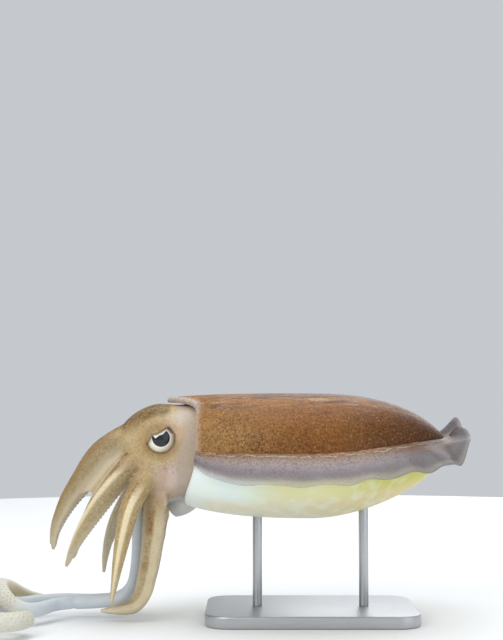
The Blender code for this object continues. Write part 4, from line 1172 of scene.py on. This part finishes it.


# Colours of the head, its lids and the funnel, and of a painted highlight behind each eye
HEAD_PAINT = {
    "mottle": (0.55, 0.42, 0.23),
    "crown": (0.27, 0.155, 0.055),
    "olive": (0.34, 0.29, 0.10),
    "crown_shade": (0.17, 0.095, 0.03),
    "face": (0.60, 0.45, 0.26),
    "cheek": (0.58, 0.45, 0.36),
    "collar": (0.46, 0.38, 0.32),
    "lower_lid": (0.40, 0.26, 0.10),
    "upper_lid": (0.40, 0.27, 0.12),
    "lid_edge": (0.33, 0.21, 0.10),
    "bar": (0.72, 0.56, 0.53),
    "nape_highlight": (0.62, 0.56, 0.48),
    "funnel": (0.60, 0.60, 0.57),
}
# Small patches round each eye: place, reach and colour
EYE_PATCHES = (
    ((-0.0842, 0, 0.0915), (0.0016, 1, 0.0034), (0.62, 0.37, 0.14)),
    ((-0.0648, 0, 0.0940), (0.0012, 1, 0.0036), (0.66, 0.31, 0.12)),
    ((-0.0690, 0, 0.0972), (0.0020, 1, 0.0014), (0.48, 0.21, 0.16)),
    ((-0.0880, 0, 0.0850), (0.0018, 1, 0.0025), (0.58, 0.38, 0.16)),
)
# Pink bars down the side of the head behind the eye: place, reach and strength
HEAD_BARS = (
    ((-0.0694, 0, 0.0735), (0.0022, 1, 0.0070), 0.62),
    ((-0.0712, 0, 0.0655), (0.0016, 1, 0.0045), 0.50),
)


def eye_surround(p, found):
    """The colours round each eye, laid over those of the head: brown lids, small patches and pink bars."""
    flat = p * (1, 0, 1)
    outward = smooth_step((np.abs(p[:, 1]) - 0.017) / 0.004)
    eye = flat - EYE_CENTRE * (1, 0, 1)
    u, v = (eye[:, 0] - OPENING_BACK) * 1000, eye[:, 2] * 1000
    away = np.hypot(u, v)
    ring = outward * smooth_step((11.5 - away) / 3.0)
    found = blend(found, HEAD_PAINT["lower_lid"], 0.85 * ring * smooth_step((1.0 - v) / 5))
    found = blend(found, HEAD_PAINT["upper_lid"], 0.70 * ring * smooth_step((v - 2.0) / 4))
    edge = outward * smooth_step((8.4 - away) / 0.9)
    found = blend(found, HEAD_PAINT["lid_edge"], 0.6 * edge)
    uneven = 0.75 + 0.25 * wobble(p, 900, 6.0)
    for place, reach, colour in EYE_PATCHES:
        found = blend(found, colour, 0.60 * outward * spot(flat, place, reach, 0.9) * uneven)
    for place, reach, strength in HEAD_BARS:
        found = blend(found, HEAD_PAINT["bar"], strength * outward * spot(flat, place, reach, 0.8))
    return found


def head_colours(p, n, look):
    """Colour and marks of the head, with its crown, its collar and the patches round each eye."""
    x, y, z = p.T
    slow = wobble(p, 330, 4.0)
    found = blend(look.head_colour, HEAD_PAINT["mottle"], 0.5 + 0.5 * slow)
    crown = smooth_step((n[:, 2] - 0.25) / 0.5) * smooth_step((0.0215 - np.abs(y)) / 0.006)
    crown = crown * smooth_step((-0.0695 - x) / 0.004)
    found = blend(found, HEAD_PAINT["crown"], 0.88 * crown)
    olive = crown * smooth_step((np.abs(y) - 0.006) / 0.006)
    found = blend(found, HEAD_PAINT["olive"], 0.55 * olive * smooth_step((slow + 0.3) / 0.8))
    shade = crown * smooth_step((wobble(p, 520, 7.0) - 0.05) / 0.35)
    found = blend(found, HEAD_PAINT["crown_shade"], 0.65 * shade)
    face = smooth_step((0.083 - z) / 0.007) * smooth_step((-0.0775 - x) / 0.006)
    found = blend(found, HEAD_PAINT["face"], 0.6 * face)
    cheek = smooth_step((0.0805 - z) / 0.006) * smooth_step((x + 0.0815) / 0.006)
    found = blend(found, HEAD_PAINT["cheek"], 0.75 * cheek)
    collar = smooth_step((x + 0.0690) / 0.004)
    found = blend(found, HEAD_PAINT["collar"], 0.75 * collar)
    found = eye_surround(p, found)
    # A painted highlight: a pale patch on the upward facing skin behind each eye, where the painted sheen is
    # also stronger
    mirrored = np.stack([x, np.abs(y), 0 * x], axis=1)
    nape_highlight = smooth_step((n[:, 2] - 0.1) / 0.5) * spot(mirrored, (-0.0660, 0.0205, 0), (0.0055, 0.0045, 1))
    found = blend(found, HEAD_PAINT["nape_highlight"], 0.45 * nape_highlight)
    dark = 0.30 + 0.55 * crown - 0.2 * collar - 0.2 * smooth_step((0.076 - z) / 0.006)
    return found, np.stack([np.clip(dark, 0.05, 1), 0.3 * crown, 0.12 + 0.2 * nape_highlight], axis=1)


def paint_flesh(piece, look):
    """Paints the head, then each limb over it by its own surface, then the funnel's end."""
    p, n = coordinates(piece), normals(piece)
    colour, marks = head_colours(p, n, look)
    name, share, gap, face = limb_places(p)
    for limb in sorted(set(name)):
        on = name == limb
        first, second = limb.split("_")
        if first == "tentacle":
            root = 0.03
            limb_colour, limb_marks = tentacle_colours(p[on], second, share[on], face[on], look)
        else:
            root = 0.10
            limb_colour, limb_marks = arm_colours(p[on], n[on], first, share[on], face[on], look)
        held = smooth_step((share[on] - root) / 0.12) * (1 - smooth_step((gap[on] - 0.0012) / 0.002))
        colour[on] = blend(colour[on], limb_colour, held)
        marks[on] = blend(marks[on], limb_marks, held)
    past_tip = np.sum((p - FUNNEL_TIP) * funnel_frame()[0], axis=1)
    funnel = (smooth_step((0.0645 - p[:, 2]) / 0.003) * smooth_step((p[:, 0] + 0.0775) / 0.003)
              * (np.abs(p[:, 1]) < 0.011) * (past_tip < 0.002))
    colour = blend(colour, HEAD_PAINT["funnel"], funnel)
    # The funnel's end: few dark cells, no streaks and some painted sheen
    marks = blend(marks, (0.12, 0.0, 0.2), funnel)
    store_colour(piece, "paint", colour)
    store_colour(piece, "marks", marks)
    store_colour(piece, "grain_lines", np.zeros((len(p), 3)))


# Finishes

def skin_finish():
    """Moist skin: the painted colours, dark and pale cells, long streaks on the back, and a fine grain."""
    skin = Finish("cuttlefish_skin", roughness=0.42, coat=0.04)
    skin.shader.inputs["Subsurface Weight"].default_value = 0.10
    skin.shader.inputs["Subsurface Radius"].default_value = (0.0035, 0.0016, 0.0009)
    skin.shader.inputs["Subsurface Scale"].default_value = 0.35
    skin.shader.inputs["Specular IOR Level"].default_value = 0.16
    dark, streak, painted_sheen = skin.parts(skin.attribute("marks"))
    lengthwise = skin.attribute("grain_lines")
    grey = skin.parts(lengthwise)[2]
    broad = skin.noise(95, 3.0, 0.55)
    colour = skin.mix(skin.attribute("paint"), (0.60, 0.60, 0.60), (broad.between(0.35, 0.70) * 0.55) * dark,
                      "MULTIPLY")
    # Blotches, golden streaks and smoky ones, drawn out along the back
    blotch = skin.noise(1.0, 3.5, 0.6, skin.stretched((4.5, 6.5, 1.0), of=lengthwise))
    colour = skin.mix(colour, (0.055, 0.022, 0.010), blotch.between(0.47, 0.62) * streak * 0.82)
    golden = skin.noise(1.0, 2.5, 0.55, skin.stretched((7.0, 13.0, 1.0), of=lengthwise))
    colour = skin.mix(colour, (0.60, 0.29, 0.075), golden.between(0.52, 0.68) * streak * 0.42)
    smoky = skin.noise(1.0, 3.0, 0.6, skin.stretched((5.0, 17.0, 1.0), of=lengthwise))
    colour = skin.mix(colour, (0.19, 0.13, 0.145), smoky.between(0.46, 0.62) * grey * streak * 0.75)
    # A dark net with a glow between its lines, and colour cells of three sizes
    net = skin.noise(860, 2.5, 0.62)
    colour = skin.mix(colour, (0.42, 0.27, 0.15), net.between(0.46, 0.60) * dark * 0.85, "MULTIPLY")
    glow = skin.noise(820, 3.5, 0.68, skin.stretched((1, 1, 1), (0.4, 0.2, 0.9)))
    colour = skin.mix(colour, (0.74, 0.44, 0.16), glow.between(0.53, 0.72) * dark * 0.42)
    cells = skin.cells(1150, randomness=0.95)
    size = skin.noise(260, 2.0, 0.6)
    dots = (size * 0.92 - cells).between(0.02, 0.16)
    colour = skin.mix(colour, (0.085, 0.028, 0.010), dots * dark * 0.55)
    small = skin.cells(2300)
    colour = skin.mix(colour, (0.10, 0.040, 0.015), (0.36 - small).between(0.0, 0.15) * dark * 0.50)
    flecks = skin.cells(520)
    colour = skin.mix(colour, (0.60, 0.34, 0.13), (0.25 - flecks).between(0.0, 0.16) * dark * 0.22)
    # Thin pale lines that wind along the back, and a sheen on the belly
    lines = skin.noise(1.0, 1.2, 0.5, skin.stretched((3.4, 17.0, 1.0), of=lengthwise))
    where = skin.noise(38, 1.5).between(0.44, 0.62)
    pale = (lines - 0.478).between(0.0, 0.020) * (0.522 - lines).between(0.0, 0.020)
    fine = (lines - 0.592).between(0.0, 0.016) * (0.632 - lines).between(0.0, 0.016)
    colour = skin.mix(colour, (0.50, 0.42, 0.41), (pale + fine) * where * streak * 0.50)
    # The sheen is painted into the colour: pale green white patches, as strong as the third mark
    sheen = skin.noise(160, 2.0).between(0.45, 0.70)
    colour = skin.mix(colour, (0.86, 0.94, 0.80), sheen * painted_sheen * 0.35)
    skin.feed("Base Color", colour)
    skin.feed("Roughness", skin.noise(240, 2.0) * 0.22 + 0.34)
    grain = skin.noise(900, 3.0, 0.6) * 0.6 + (1 - cells) * 0.5 * dark + skin.noise(210, 2.0) * 1.4
    skin.bump(grain, 0.35, 0.00035)
    return skin.material


def fin_finish(look):
    """A thin grey and lilac membrane with dark dots, a brown root and a wavy pale line beside it."""
    fin = Finish("fin_membrane", roughness=0.40, coat=0.15)
    fin.shader.inputs["Specular IOR Level"].default_value = 0.3
    along, across, on_top = fin.parts(fin.attribute("fin_place"))
    # The membrane, browner inwards, darker towards the tail and paler at its edge
    cloud = fin.noise(75, 3.0, 0.6)
    colour = fin.mix(look.membrane_colour, (0.37, 0.34, 0.37), cloud.between(0.42, 0.68) * 0.5)
    colour = fin.mix(colour, (0.285, 0.190, 0.135), (0.66 - across).between(0.0, 0.46) * 0.80)
    colour = fin.mix(colour, (0.066, 0.052, 0.048), along.between(0.46, 0.88) * 0.80)
    colour = fin.mix(colour, (0.50, 0.47, 0.42), across.between(0.80, 1.0) * 0.40)
    # The root: brown like the back, with pink patches on top
    tail = along.between(0.60, 0.92)
    root = (0.34 + tail * 0.30 - across).between(0.0, 0.32)
    brown = fin.mix((0.225, 0.108, 0.038), (0.088, 0.044, 0.027), tail)
    colour = fin.mix(colour, brown, root * 0.92)
    pink = fin.noise(150, 2.0).between(0.46, 0.60)
    near = (0.095 - across).between(0.0, 0.05)
    colour = fin.mix(colour, (0.70, 0.34, 0.22), pink * near * on_top * (1 - tail) * 0.80)
    # A pale line that winds along the root and breaks up
    offset = across - 0.05 - fin.noise(190, 1.5) * 0.16
    line = (offset + 0.020).between(0.0, 0.014) * (0.020 - offset).between(0.0, 0.014)
    fade = 1 - along.between(0.62, 0.95) * 0.7
    broken = fin.noise(240, 1.0).between(0.30, 0.50)
    colour = fin.mix(colour, (0.58, 0.68, 0.52), line * fade * broken * 0.42)
    # Dots, and a fine dark net that fades outwards
    cells = fin.cells(1150)
    size = fin.noise(320, 1.0)
    dots = (size * 0.60 - cells).between(0.0, 0.14)
    colour = fin.mix(colour, (0.085, 0.050, 0.045), dots * (0.80 - across * 0.45))
    net = fin.noise(900, 2.5, 0.62)
    colour = fin.mix(colour, (0.45, 0.32, 0.24), net.between(0.46, 0.62) * (1 - across) * 0.75, "MULTIPLY")
    fin.feed("Base Color", colour)
    thin = across.between(0.40, 1.0) * (1 - along.between(0.42, 0.8) * 0.72)
    fin.feed("Alpha", 1 - thin * (1 - look.edge_alpha))
    fin.feed("Roughness", fin.noise(260, 2.0) * 0.2 + 0.28)
    rays = fin.noise(1.0, 2.0, 0.5, fin.stretched((170, 170, 600)))
    fin.bump(fin.noise(700, 3.0) * 0.7 + rays, 0.3, 0.0004)
    return fin.material


def sucker_finish():
    """Pale moist cups with a few brown specks."""
    cup = Finish("sucker_cups", roughness=0.4, coat=0.4)
    tone = cup.noise(300, 2.0)
    colour = cup.mix((0.66, 0.60, 0.48), (0.76, 0.74, 0.66), tone.between(0.35, 0.65))
    colour = cup.mix(colour, (0.42, 0.30, 0.18), cup.noise(1400, 1.0).between(0.56, 0.70) * 0.5)
    cup.feed("Base Color", colour)
    cup.feed("Roughness", tone * 0.3 + 0.25)
    cup.bump(cup.noise(2200, 2.0), 0.25, 0.0001)
    return cup.material


def eye_finish(look):
    """A curved dark pupil under a pale band, in a cream iris."""
    eye = Finish("eye_gloss", roughness=0.10, coat=0.35)
    eye.shader.inputs["Coat Roughness"].default_value = 0.03
    eye.shader.inputs["Specular IOR Level"].default_value = 0.35
    x, _, z = eye.axes()
    u, v = (x - EYE_CENTRE[0]) * 1000, (z - EYE_CENTRE[2]) * 1000
    away = ((u - 0.9) * (u - 0.9) + (v - 0.6) * (v - 0.6)) ** 0.5
    # The pupil's upper edge in millimetres, drawn by four straight lines like a shallow W
    roof = (u * 0.35 + 1.91).most(u * 1.07 + 0.49).least(u * 0.75 + 1.86).most(u * -1.1 - 1.54)
    iris_grain = eye.noise(1500, 2.0)
    colour = eye.mix(look.iris_colour, (0.62, 0.55, 0.36), iris_grain.between(0.50, 0.75) * 0.40)
    # A painted shade: a grey violet patch on the iris at its upper rear, under the lid
    rear = ((u - 6.2) * (u - 6.2) + (v - 4.9) * (v - 4.9)) ** 0.5
    colour = eye.mix(colour, (0.36, 0.25, 0.29), (2.8 - rear).between(0.0, 1.2) * 0.85)
    colour = eye.mix(colour, (0.36, 0.20, 0.10), away.between(6.8, 8.0) * 0.6)
    band = (4.9 - away).between(0.0, 0.2) * (roof + 1.5 - v).between(0.0, 0.3)
    colour = eye.mix(colour, (0.94, 0.94, 0.90), band)
    pupil = (4.45 - away).between(0.0, 0.2) * (roof - v).between(0.0, 0.2)
    deep = eye.noise(420, 2.0)
    dark = eye.mix(look.pupil_colour, (0.016, 0.022, 0.034), deep.between(0.45, 0.75) * 0.6)
    colour = eye.mix(colour, dark, pupil)
    eye.feed("Base Color", colour)
    eye.bump(iris_grain * (1 - pupil), 0.08, 0.0001)
    return eye.material


def mouth_finish():
    """Wrinkled lips round a dark horny beak."""
    lips = Finish("mouth_lips", roughness=0.4, coat=0.4)
    horn = lips.parts(lips.attribute("beak"))[0]
    folds = lips.noise(1200, 3.0, 0.6)
    colour = lips.mix((0.62, 0.45, 0.33), (0.40, 0.24, 0.16), folds.between(0.35, 0.70))
    colour = lips.mix(colour, (0.035, 0.020, 0.014), horn)
    lips.feed("Base Color", colour)
    lips.feed("Roughness", 0.42 - horn * 0.22)
    lips.bump(folds, 0.4, 0.0003)
    return lips.material


def stand_finish(look):
    """Satin metal with a fine brushed grain, a little cloudier where it is handled."""
    metal = Finish("satin_metal", roughness=0.34, metallic=1.0)
    brushed = metal.noise(1.0, 3.0, 0.6, metal.stretched((90, 3600, 3600)))
    cloud = metal.noise(45, 3.0, 0.55)
    colour = metal.mix(look.metal_colour, (0.40, 0.41, 0.42), brushed.between(0.30, 0.75) * 0.35)
    colour = metal.mix(colour, (0.62, 0.62, 0.62), cloud.between(0.45, 0.70) * 0.25)
    metal.feed("Base Color", colour)
    metal.feed("Roughness", 0.27 + brushed * 0.12 + cloud * 0.10)
    metal.bump(brushed, 0.12, 0.00008)
    return metal.material


def studio_finish(look):
    """A matt pale paper sweep."""
    paper = Finish("studio_sweep", roughness=0.9)
    colour = paper.mix(look.floor_colour, (0.70, 0.71, 0.72), paper.noise(2.0, 2.0).between(0.3, 0.8) * 0.10)
    paper.feed("Base Color", colour)
    return paper.material


# Sizes and colours that a user would change

class SkinSettings(PropertyGroup):
    voxel: FloatProperty(name="Fineness", description="Size of the grid that grows the flesh together",
                         default=0.00082, min=0.0004, max=0.002, unit="LENGTH", precision=5)
    smoothing: IntProperty(name="Smoothing", description="Smoothing passes over the flesh",
                           default=4, min=0, max=20)
    back_colour: FloatVectorProperty(name="Back", description="Golden brown of the back behind the head",
                                     default=(0.38, 0.195, 0.062), subtype="COLOR", min=0, max=1)
    belly_colour: FloatVectorProperty(name="Belly", description="Pearly green white below the fins",
                                      default=(0.82, 0.92, 0.85), subtype="COLOR", min=0, max=1)
    head_colour: FloatVectorProperty(name="Head", description="Tan of the sides of the head",
                                     default=(0.50, 0.37, 0.18), subtype="COLOR", min=0, max=1)
    inner_arm_colour: FloatVectorProperty(name="Inner arms", description="Pale side with the suckers",
                                          default=(0.62, 0.53, 0.37), subtype="COLOR", min=0, max=1)
    tentacle_colour: FloatVectorProperty(name="Tentacles", description="Blue white of the tentacle stalks",
                                         default=(0.58, 0.63, 0.67), subtype="COLOR", min=0, max=1)


class FinSettings(PropertyGroup):
    ripple: FloatProperty(name="Ruffle", description="Height of the small waves along the fin's edge",
                          default=0.0006, min=0, max=0.003, unit="LENGTH", precision=5)
    edge_alpha: FloatProperty(name="Edge opacity", description="How solid the fin's edge looks",
                              default=0.28, min=0.1, max=1, subtype="FACTOR")
    membrane_colour: FloatVectorProperty(name="Membrane", description="Grey lilac of the fin",
                                         default=(0.30, 0.260, 0.275), subtype="COLOR", min=0, max=1)


class SuckerSettings(PropertyGroup):
    arm_columns: IntProperty(name="Per arm", description="Suckers in each of an arm's four rows",
                             default=30, min=4, max=60)
    club_columns: IntProperty(name="Per club", description="Suckers in each of a club's six rows",
                              default=30, min=4, max=60)
    arm_size: FloatProperty(name="Arm sucker", description="Radius of the largest sucker on an arm",
                            default=0.00092, min=0.0003, max=0.002, unit="LENGTH", precision=5)
    club_size: FloatProperty(name="Club sucker", description="Radius of the largest sucker on a club",
                             default=0.00056, min=0.0002, max=0.002, unit="LENGTH", precision=5)


class EyeSettings(PropertyGroup):
    iris_colour: FloatVectorProperty(name="Iris", description="Cream ground of the iris",
                                     default=(0.90, 0.87, 0.72), subtype="COLOR", min=0, max=1)
    pupil_colour: FloatVectorProperty(name="Pupil", description="Blue black of the pupil",
                                      default=(0.010, 0.012, 0.016), subtype="COLOR", min=0, max=1)


class StandSettings(PropertyGroup):
    edge: FloatProperty(name="Edge round", description="Rounding of the base's top edge",
                        default=0.001, min=0.0002, max=0.0025, unit="LENGTH", precision=5)
    metal_colour: FloatVectorProperty(name="Metal", description="Colour of the satin metal",
                                      default=(0.52, 0.53, 0.54), subtype="COLOR", min=0, max=1)


class StudioSettings(PropertyGroup):
    floor_colour: FloatVectorProperty(name="Sweep", description="Colour of the floor and backdrop",
                                      default=(0.88, 0.89, 0.90), subtype="COLOR", min=0, max=1)
    power: FloatProperty(name="Light", description="Strength of the key light in watts",
                         default=11.0, min=1, max=200)
    lens: FloatProperty(name="Lens", description="Focal length of the camera in millimetres",
                        default=67.8, min=20, max=200)


# Operators

class BuildSkin(Operator):
    """Builds the skin that covers mantle, head, funnel, arms and tentacles"""
    bl_idname = "cuttlefish.build_skin"
    bl_label = "Skin"

    def execute(self, context):
        look = context.scene.cuttlefish_skin
        flesh = flesh_shell(look.voxel, look.smoothing)
        if len(flesh.data.vertices) < FEWEST_FLESH_POINTS:
            raise RuntimeError("the flesh didn't grow together")
        paint_flesh(flesh, look)
        mantle = mantle_shell()
        paint_mantle(mantle, look)
        skin = joined("skin", [flesh, mantle])
        finish_piece(skin, skin_finish(), FLESH_NODES)
        return {"FINISHED"}


class BuildFins(Operator):
    """Builds the two fins along the mantle's sides"""
    bl_idname = "cuttlefish.build_fins"
    bl_label = "Fins"

    def execute(self, context):
        look = context.scene.cuttlefish_fins
        membrane = fin_finish(look)
        for side, word in ((1, "right"), (-1, "left")):
            fin = fin_shell(f"fin_{word}_membrane", side, look.ripple)
            finish_piece(fin, membrane, [f"fin_{word}"])
        return {"FINISHED"}


class BuildSuckers(Operator):
    """Builds the suckers along the arms and on the clubs"""
    bl_idname = "cuttlefish.build_suckers"
    bl_label = "Suckers"

    def execute(self, context):
        look = context.scene.cuttlefish_suckers
        found = [sucker_places(limb, "arm", ARM_SUCKER_START, look.arm_columns, look.arm_size)
                 for limb in ARMS.values()]
        found += [sucker_places(limb, "club", CLUB_STARTS[word] + 0.01, look.club_columns, look.club_size)
                  for word, limb in TENTACLES.items()]
        cup = sucker_cup()
        suckers = stamp("suckers", cup, *(np.concatenate(part) for part in zip(*found)))
        bpy.data.objects.remove(cup)
        finish_piece(suckers, sucker_finish())
        return {"FINISHED"}


class BuildEyes(Operator):
    """Builds the two eyeballs, each a little proud at its middle"""
    bl_idname = "cuttlefish.build_eyes"
    bl_label = "Eyes"

    def execute(self, context):
        gloss = eye_finish(context.scene.cuttlefish_eyes)
        for side, word in ((1, "right"), (-1, "left")):
            deselect_all()
            bpy.ops.mesh.primitive_uv_sphere_add(segments=72, ring_count=48, radius=EYE_RADIUS,
                                                 location=eye_centre(side),
                                                 rotation=(-side * math.pi / 2, 0, 0))
            bpy.ops.object.transform_apply(location=True, rotation=True, scale=True)
            ball = bpy.context.object
            ball.name = f"eyeball_{word}"
            out = coordinates(ball)[:, 1] * side
            for group in (ball.data.vertices, ball.data.edges, ball.data.polygons):
                group.foreach_set("select", [False] * len(group))
            ball.data.vertices[int(out.argmax())].select = True
            bpy.ops.object.mode_set(mode="EDIT")
            bpy.ops.transform.translate(value=(0, side * EYE_RISE, 0), use_proportional_edit=True,
                                        proportional_edit_falloff="SMOOTH",
                                        proportional_size=EYE_RISE_REACH)
            bpy.ops.object.mode_set(mode="OBJECT")
            finish_piece(ball, gloss, [f"eye_{word}"])
        return {"FINISHED"}


class BuildMouth(Operator):
    """Builds the folded lips and the beak between the arms"""
    bl_idname = "cuttlefish.build_mouth"
    bl_label = "Mouth"

    def execute(self, context):
        lips = loft("lips", [mouth_ring(wide, along, folds=folds) for wide, along, folds in LIP_RINGS])
        store_colour(lips, "beak", np.zeros((len(lips.data.vertices), 3)))
        beak = loft("beak", [mouth_ring(wide, along, narrow=narrow) for wide, along, narrow in BEAK_RINGS])
        store_colour(beak, "beak", np.ones((len(beak.data.vertices), 3)))
        mouth = joined("mouth_parts", [lips, beak])
        finish_piece(mouth, mouth_finish(), ["mouth"])
        return {"FINISHED"}


class BuildStand(Operator):
    """Builds the flat base and the two rods that hold the animal"""
    bl_idname = "cuttlefish.build_stand"
    bl_label = "Display stand"

    def execute(self, context):
        look = context.scene.cuttlefish_stand
        metal = stand_finish(look)
        deselect_all()
        bpy.ops.mesh.primitive_plane_add(size=1)
        bpy.ops.transform.resize(value=(BASE_SIZE[0], BASE_SIZE[1], 1))
        bpy.ops.object.transform_apply(location=True, rotation=True, scale=True)
        base = bpy.context.object
        base.name = "base_plate"
        bpy.ops.object.mode_set(mode="EDIT")
        bpy.ops.mesh.select_all(action="SELECT")
        bpy.ops.mesh.bevel(offset=BASE_CORNER, segments=12, profile=0.5, affect="VERTICES")
        bpy.ops.mesh.select_all(action="SELECT")
        bpy.ops.mesh.extrude_region_move(TRANSFORM_OT_translate={"value": (0, 0, BASE_SIZE[2])})
        bpy.ops.mesh.select_all(action="SELECT")
        bpy.ops.mesh.normals_make_consistent(inside=False)
        bpy.ops.object.mode_set(mode="OBJECT")
        self.round_edges(base, look.edge, 4)
        finish_piece(base, metal, ["stand_base"])
        select_only(base)
        bpy.ops.object.shade_smooth_by_angle(angle=SMOOTH_ANGLE)
        for word, x in zip(("front", "rear"), ROD_X):
            belly = float(mantle_points(np.array([x]), np.array([-math.pi / 2]), 0.0)[0, 2])
            top = belly + ROD_DEPTH
            deselect_all()
            bpy.ops.mesh.primitive_cylinder_add(vertices=56, radius=ROD_RADIUS, depth=top - BASE_SIZE[2],
                                                location=(x, 0, (top + BASE_SIZE[2]) / 2))
            bpy.ops.object.transform_apply(location=True, rotation=True, scale=True)
            rod = bpy.context.object
            rod.name = f"rod_{word}"
            self.round_edges(rod, ROD_EDGE, 3)
            finish_piece(rod, metal, [f"stand_rod_{word}"])
            select_only(rod)
            bpy.ops.object.shade_smooth_by_angle(angle=SMOOTH_ANGLE)
        return {"FINISHED"}

    @staticmethod
    def round_edges(piece, width, segments):
        """Rounds the edges between the piece's flat ends and its sides."""
        apply_modifier(piece, "BEVEL", width=width, segments=segments, limit_method="ANGLE",
                       angle_limit=ROUNDED_ANGLE)


def wall_profile():
    """Radius and height of the backdrop's rings, from the flat floor's edge up a rounded wall."""
    return [(FLOOR_RADIUS + WALL_CURVE * math.sin(turn), WALL_CURVE * (1 - math.cos(turn)))
            for turn in np.linspace(0, math.pi / 2, WALL_STEPS + 1)[1:]]


class BuildStudio(Operator):
    """Builds the floor sweep, the lights and the camera"""
    bl_idname = "cuttlefish.build_studio"
    bl_label = "Studio"

    def execute(self, context):
        look = context.scene.cuttlefish_studio
        deselect_all()
        bpy.ops.mesh.primitive_circle_add(vertices=96, radius=FLOOR_RADIUS, fill_type="NGON",
                                          location=(0, 0, FLOOR_Z))
        sweep = bpy.context.object
        sweep.name = "studio_sweep"
        bpy.ops.object.mode_set(mode="EDIT")
        bpy.ops.mesh.select_all(action="SELECT")
        bpy.ops.mesh.duplicate()
        bpy.ops.mesh.delete(type="ONLY_FACE")
        radius, height = FLOOR_RADIUS, 0.0
        for next_radius, next_height in wall_profile():
            bpy.ops.mesh.extrude_edges_move(TRANSFORM_OT_translate={"value": (0, 0, next_height - height)})
            grow = next_radius / radius
            bpy.ops.transform.resize(value=(grow, grow, 1), center_override=(0, 0, 0))
            radius, height = next_radius, next_height
        bpy.ops.mesh.select_all(action="SELECT")
        bpy.ops.mesh.remove_doubles(threshold=0.0001)
        bpy.ops.mesh.normals_make_consistent(inside=True)
        bpy.ops.object.mode_set(mode="OBJECT")
        sweep.data.materials.append(studio_finish(look))
        sweep.data.shade_smooth()
        for name, (place, size, share, colour) in LIGHTS.items():
            bpy.ops.object.light_add(type="AREA", location=place)
            light = bpy.context.object
            light.name = f"{name}_light"
            light.data.energy = look.power * share
            light.data.size = size
            light.data.color = colour
            light.rotation_euler = self.aimed(np.array(place))
        context.scene.view_settings.view_transform = "Standard"
        world = bpy.data.worlds.new("studio_air")
        world.use_nodes = True
        world.node_tree.nodes["Background"].inputs["Color"].default_value = (*SKY_COLOUR, 1.0)
        world.node_tree.nodes["Background"].inputs["Strength"].default_value = SKY_STRENGTH
        context.scene.world = world
        bpy.ops.object.camera_add(location=CAMERA_PLACE, rotation=(CAMERA_TILT, 0, 0))
        camera = bpy.context.object
        camera.name = "studio_camera"
        camera.data.lens = look.lens
        camera.data.clip_start = 0.01
        context.scene.camera = camera
        return {"FINISHED"}

    @staticmethod
    def aimed(place):
        """The turn that makes a light at place shine at the animal."""
        way = unit(LIGHT_AIM - place)
        return (math.acos(-way[2]), 0.0, math.atan2(way[1], way[0]) - math.pi / 2)


class CuttlefishPanel(Panel):
    """Lists the pieces of the cuttlefish and their settings"""
    bl_idname = "VIEW3D_PT_cuttlefish"
    bl_label = "Cuttlefish"
    bl_space_type = "VIEW_3D"
    bl_region_type = "UI"
    bl_category = "Cuttlefish"

    def draw(self, context):
        for operator, settings in BUILD_ORDER:
            box = self.layout.box()
            box.operator(operator.bl_idname)
            if settings:
                look = getattr(context.scene, settings)
                for name in look.__annotations__:
                    box.prop(look, name)


BUILD_ORDER = (
    (BuildSkin, "cuttlefish_skin"),
    (BuildFins, "cuttlefish_fins"),
    (BuildSuckers, "cuttlefish_suckers"),
    (BuildEyes, "cuttlefish_eyes"),
    (BuildMouth, None),
    (BuildStand, "cuttlefish_stand"),
    (BuildStudio, "cuttlefish_studio"),
)
SETTINGS = {
    "cuttlefish_skin": SkinSettings,
    "cuttlefish_fins": FinSettings,
    "cuttlefish_suckers": SuckerSettings,
    "cuttlefish_eyes": EyeSettings,
    "cuttlefish_stand": StandSettings,
    "cuttlefish_studio": StudioSettings,
}


def register():
    for name, group in SETTINGS.items():
        bpy.utils.register_class(group)
        setattr(bpy.types.Scene, name, PointerProperty(type=group))
    for operator, _ in BUILD_ORDER:
        bpy.utils.register_class(operator)
    bpy.utils.register_class(CuttlefishPanel)


def unregister():
    bpy.utils.unregister_class(CuttlefishPanel)
    for operator, _ in BUILD_ORDER:
        bpy.utils.unregister_class(operator)
    for name, group in SETTINGS.items():
        delattr(bpy.types.Scene, name)
        bpy.utils.unregister_class(group)


def main():
    register()
    bpy.ops.cuttlefish.build_skin()
    bpy.ops.cuttlefish.build_fins()
    bpy.ops.cuttlefish.build_suckers()
    bpy.ops.cuttlefish.build_eyes()
    bpy.ops.cuttlefish.build_mouth()
    bpy.ops.cuttlefish.build_stand()
    bpy.ops.cuttlefish.build_studio()


if __name__ == "__main__":
    main()
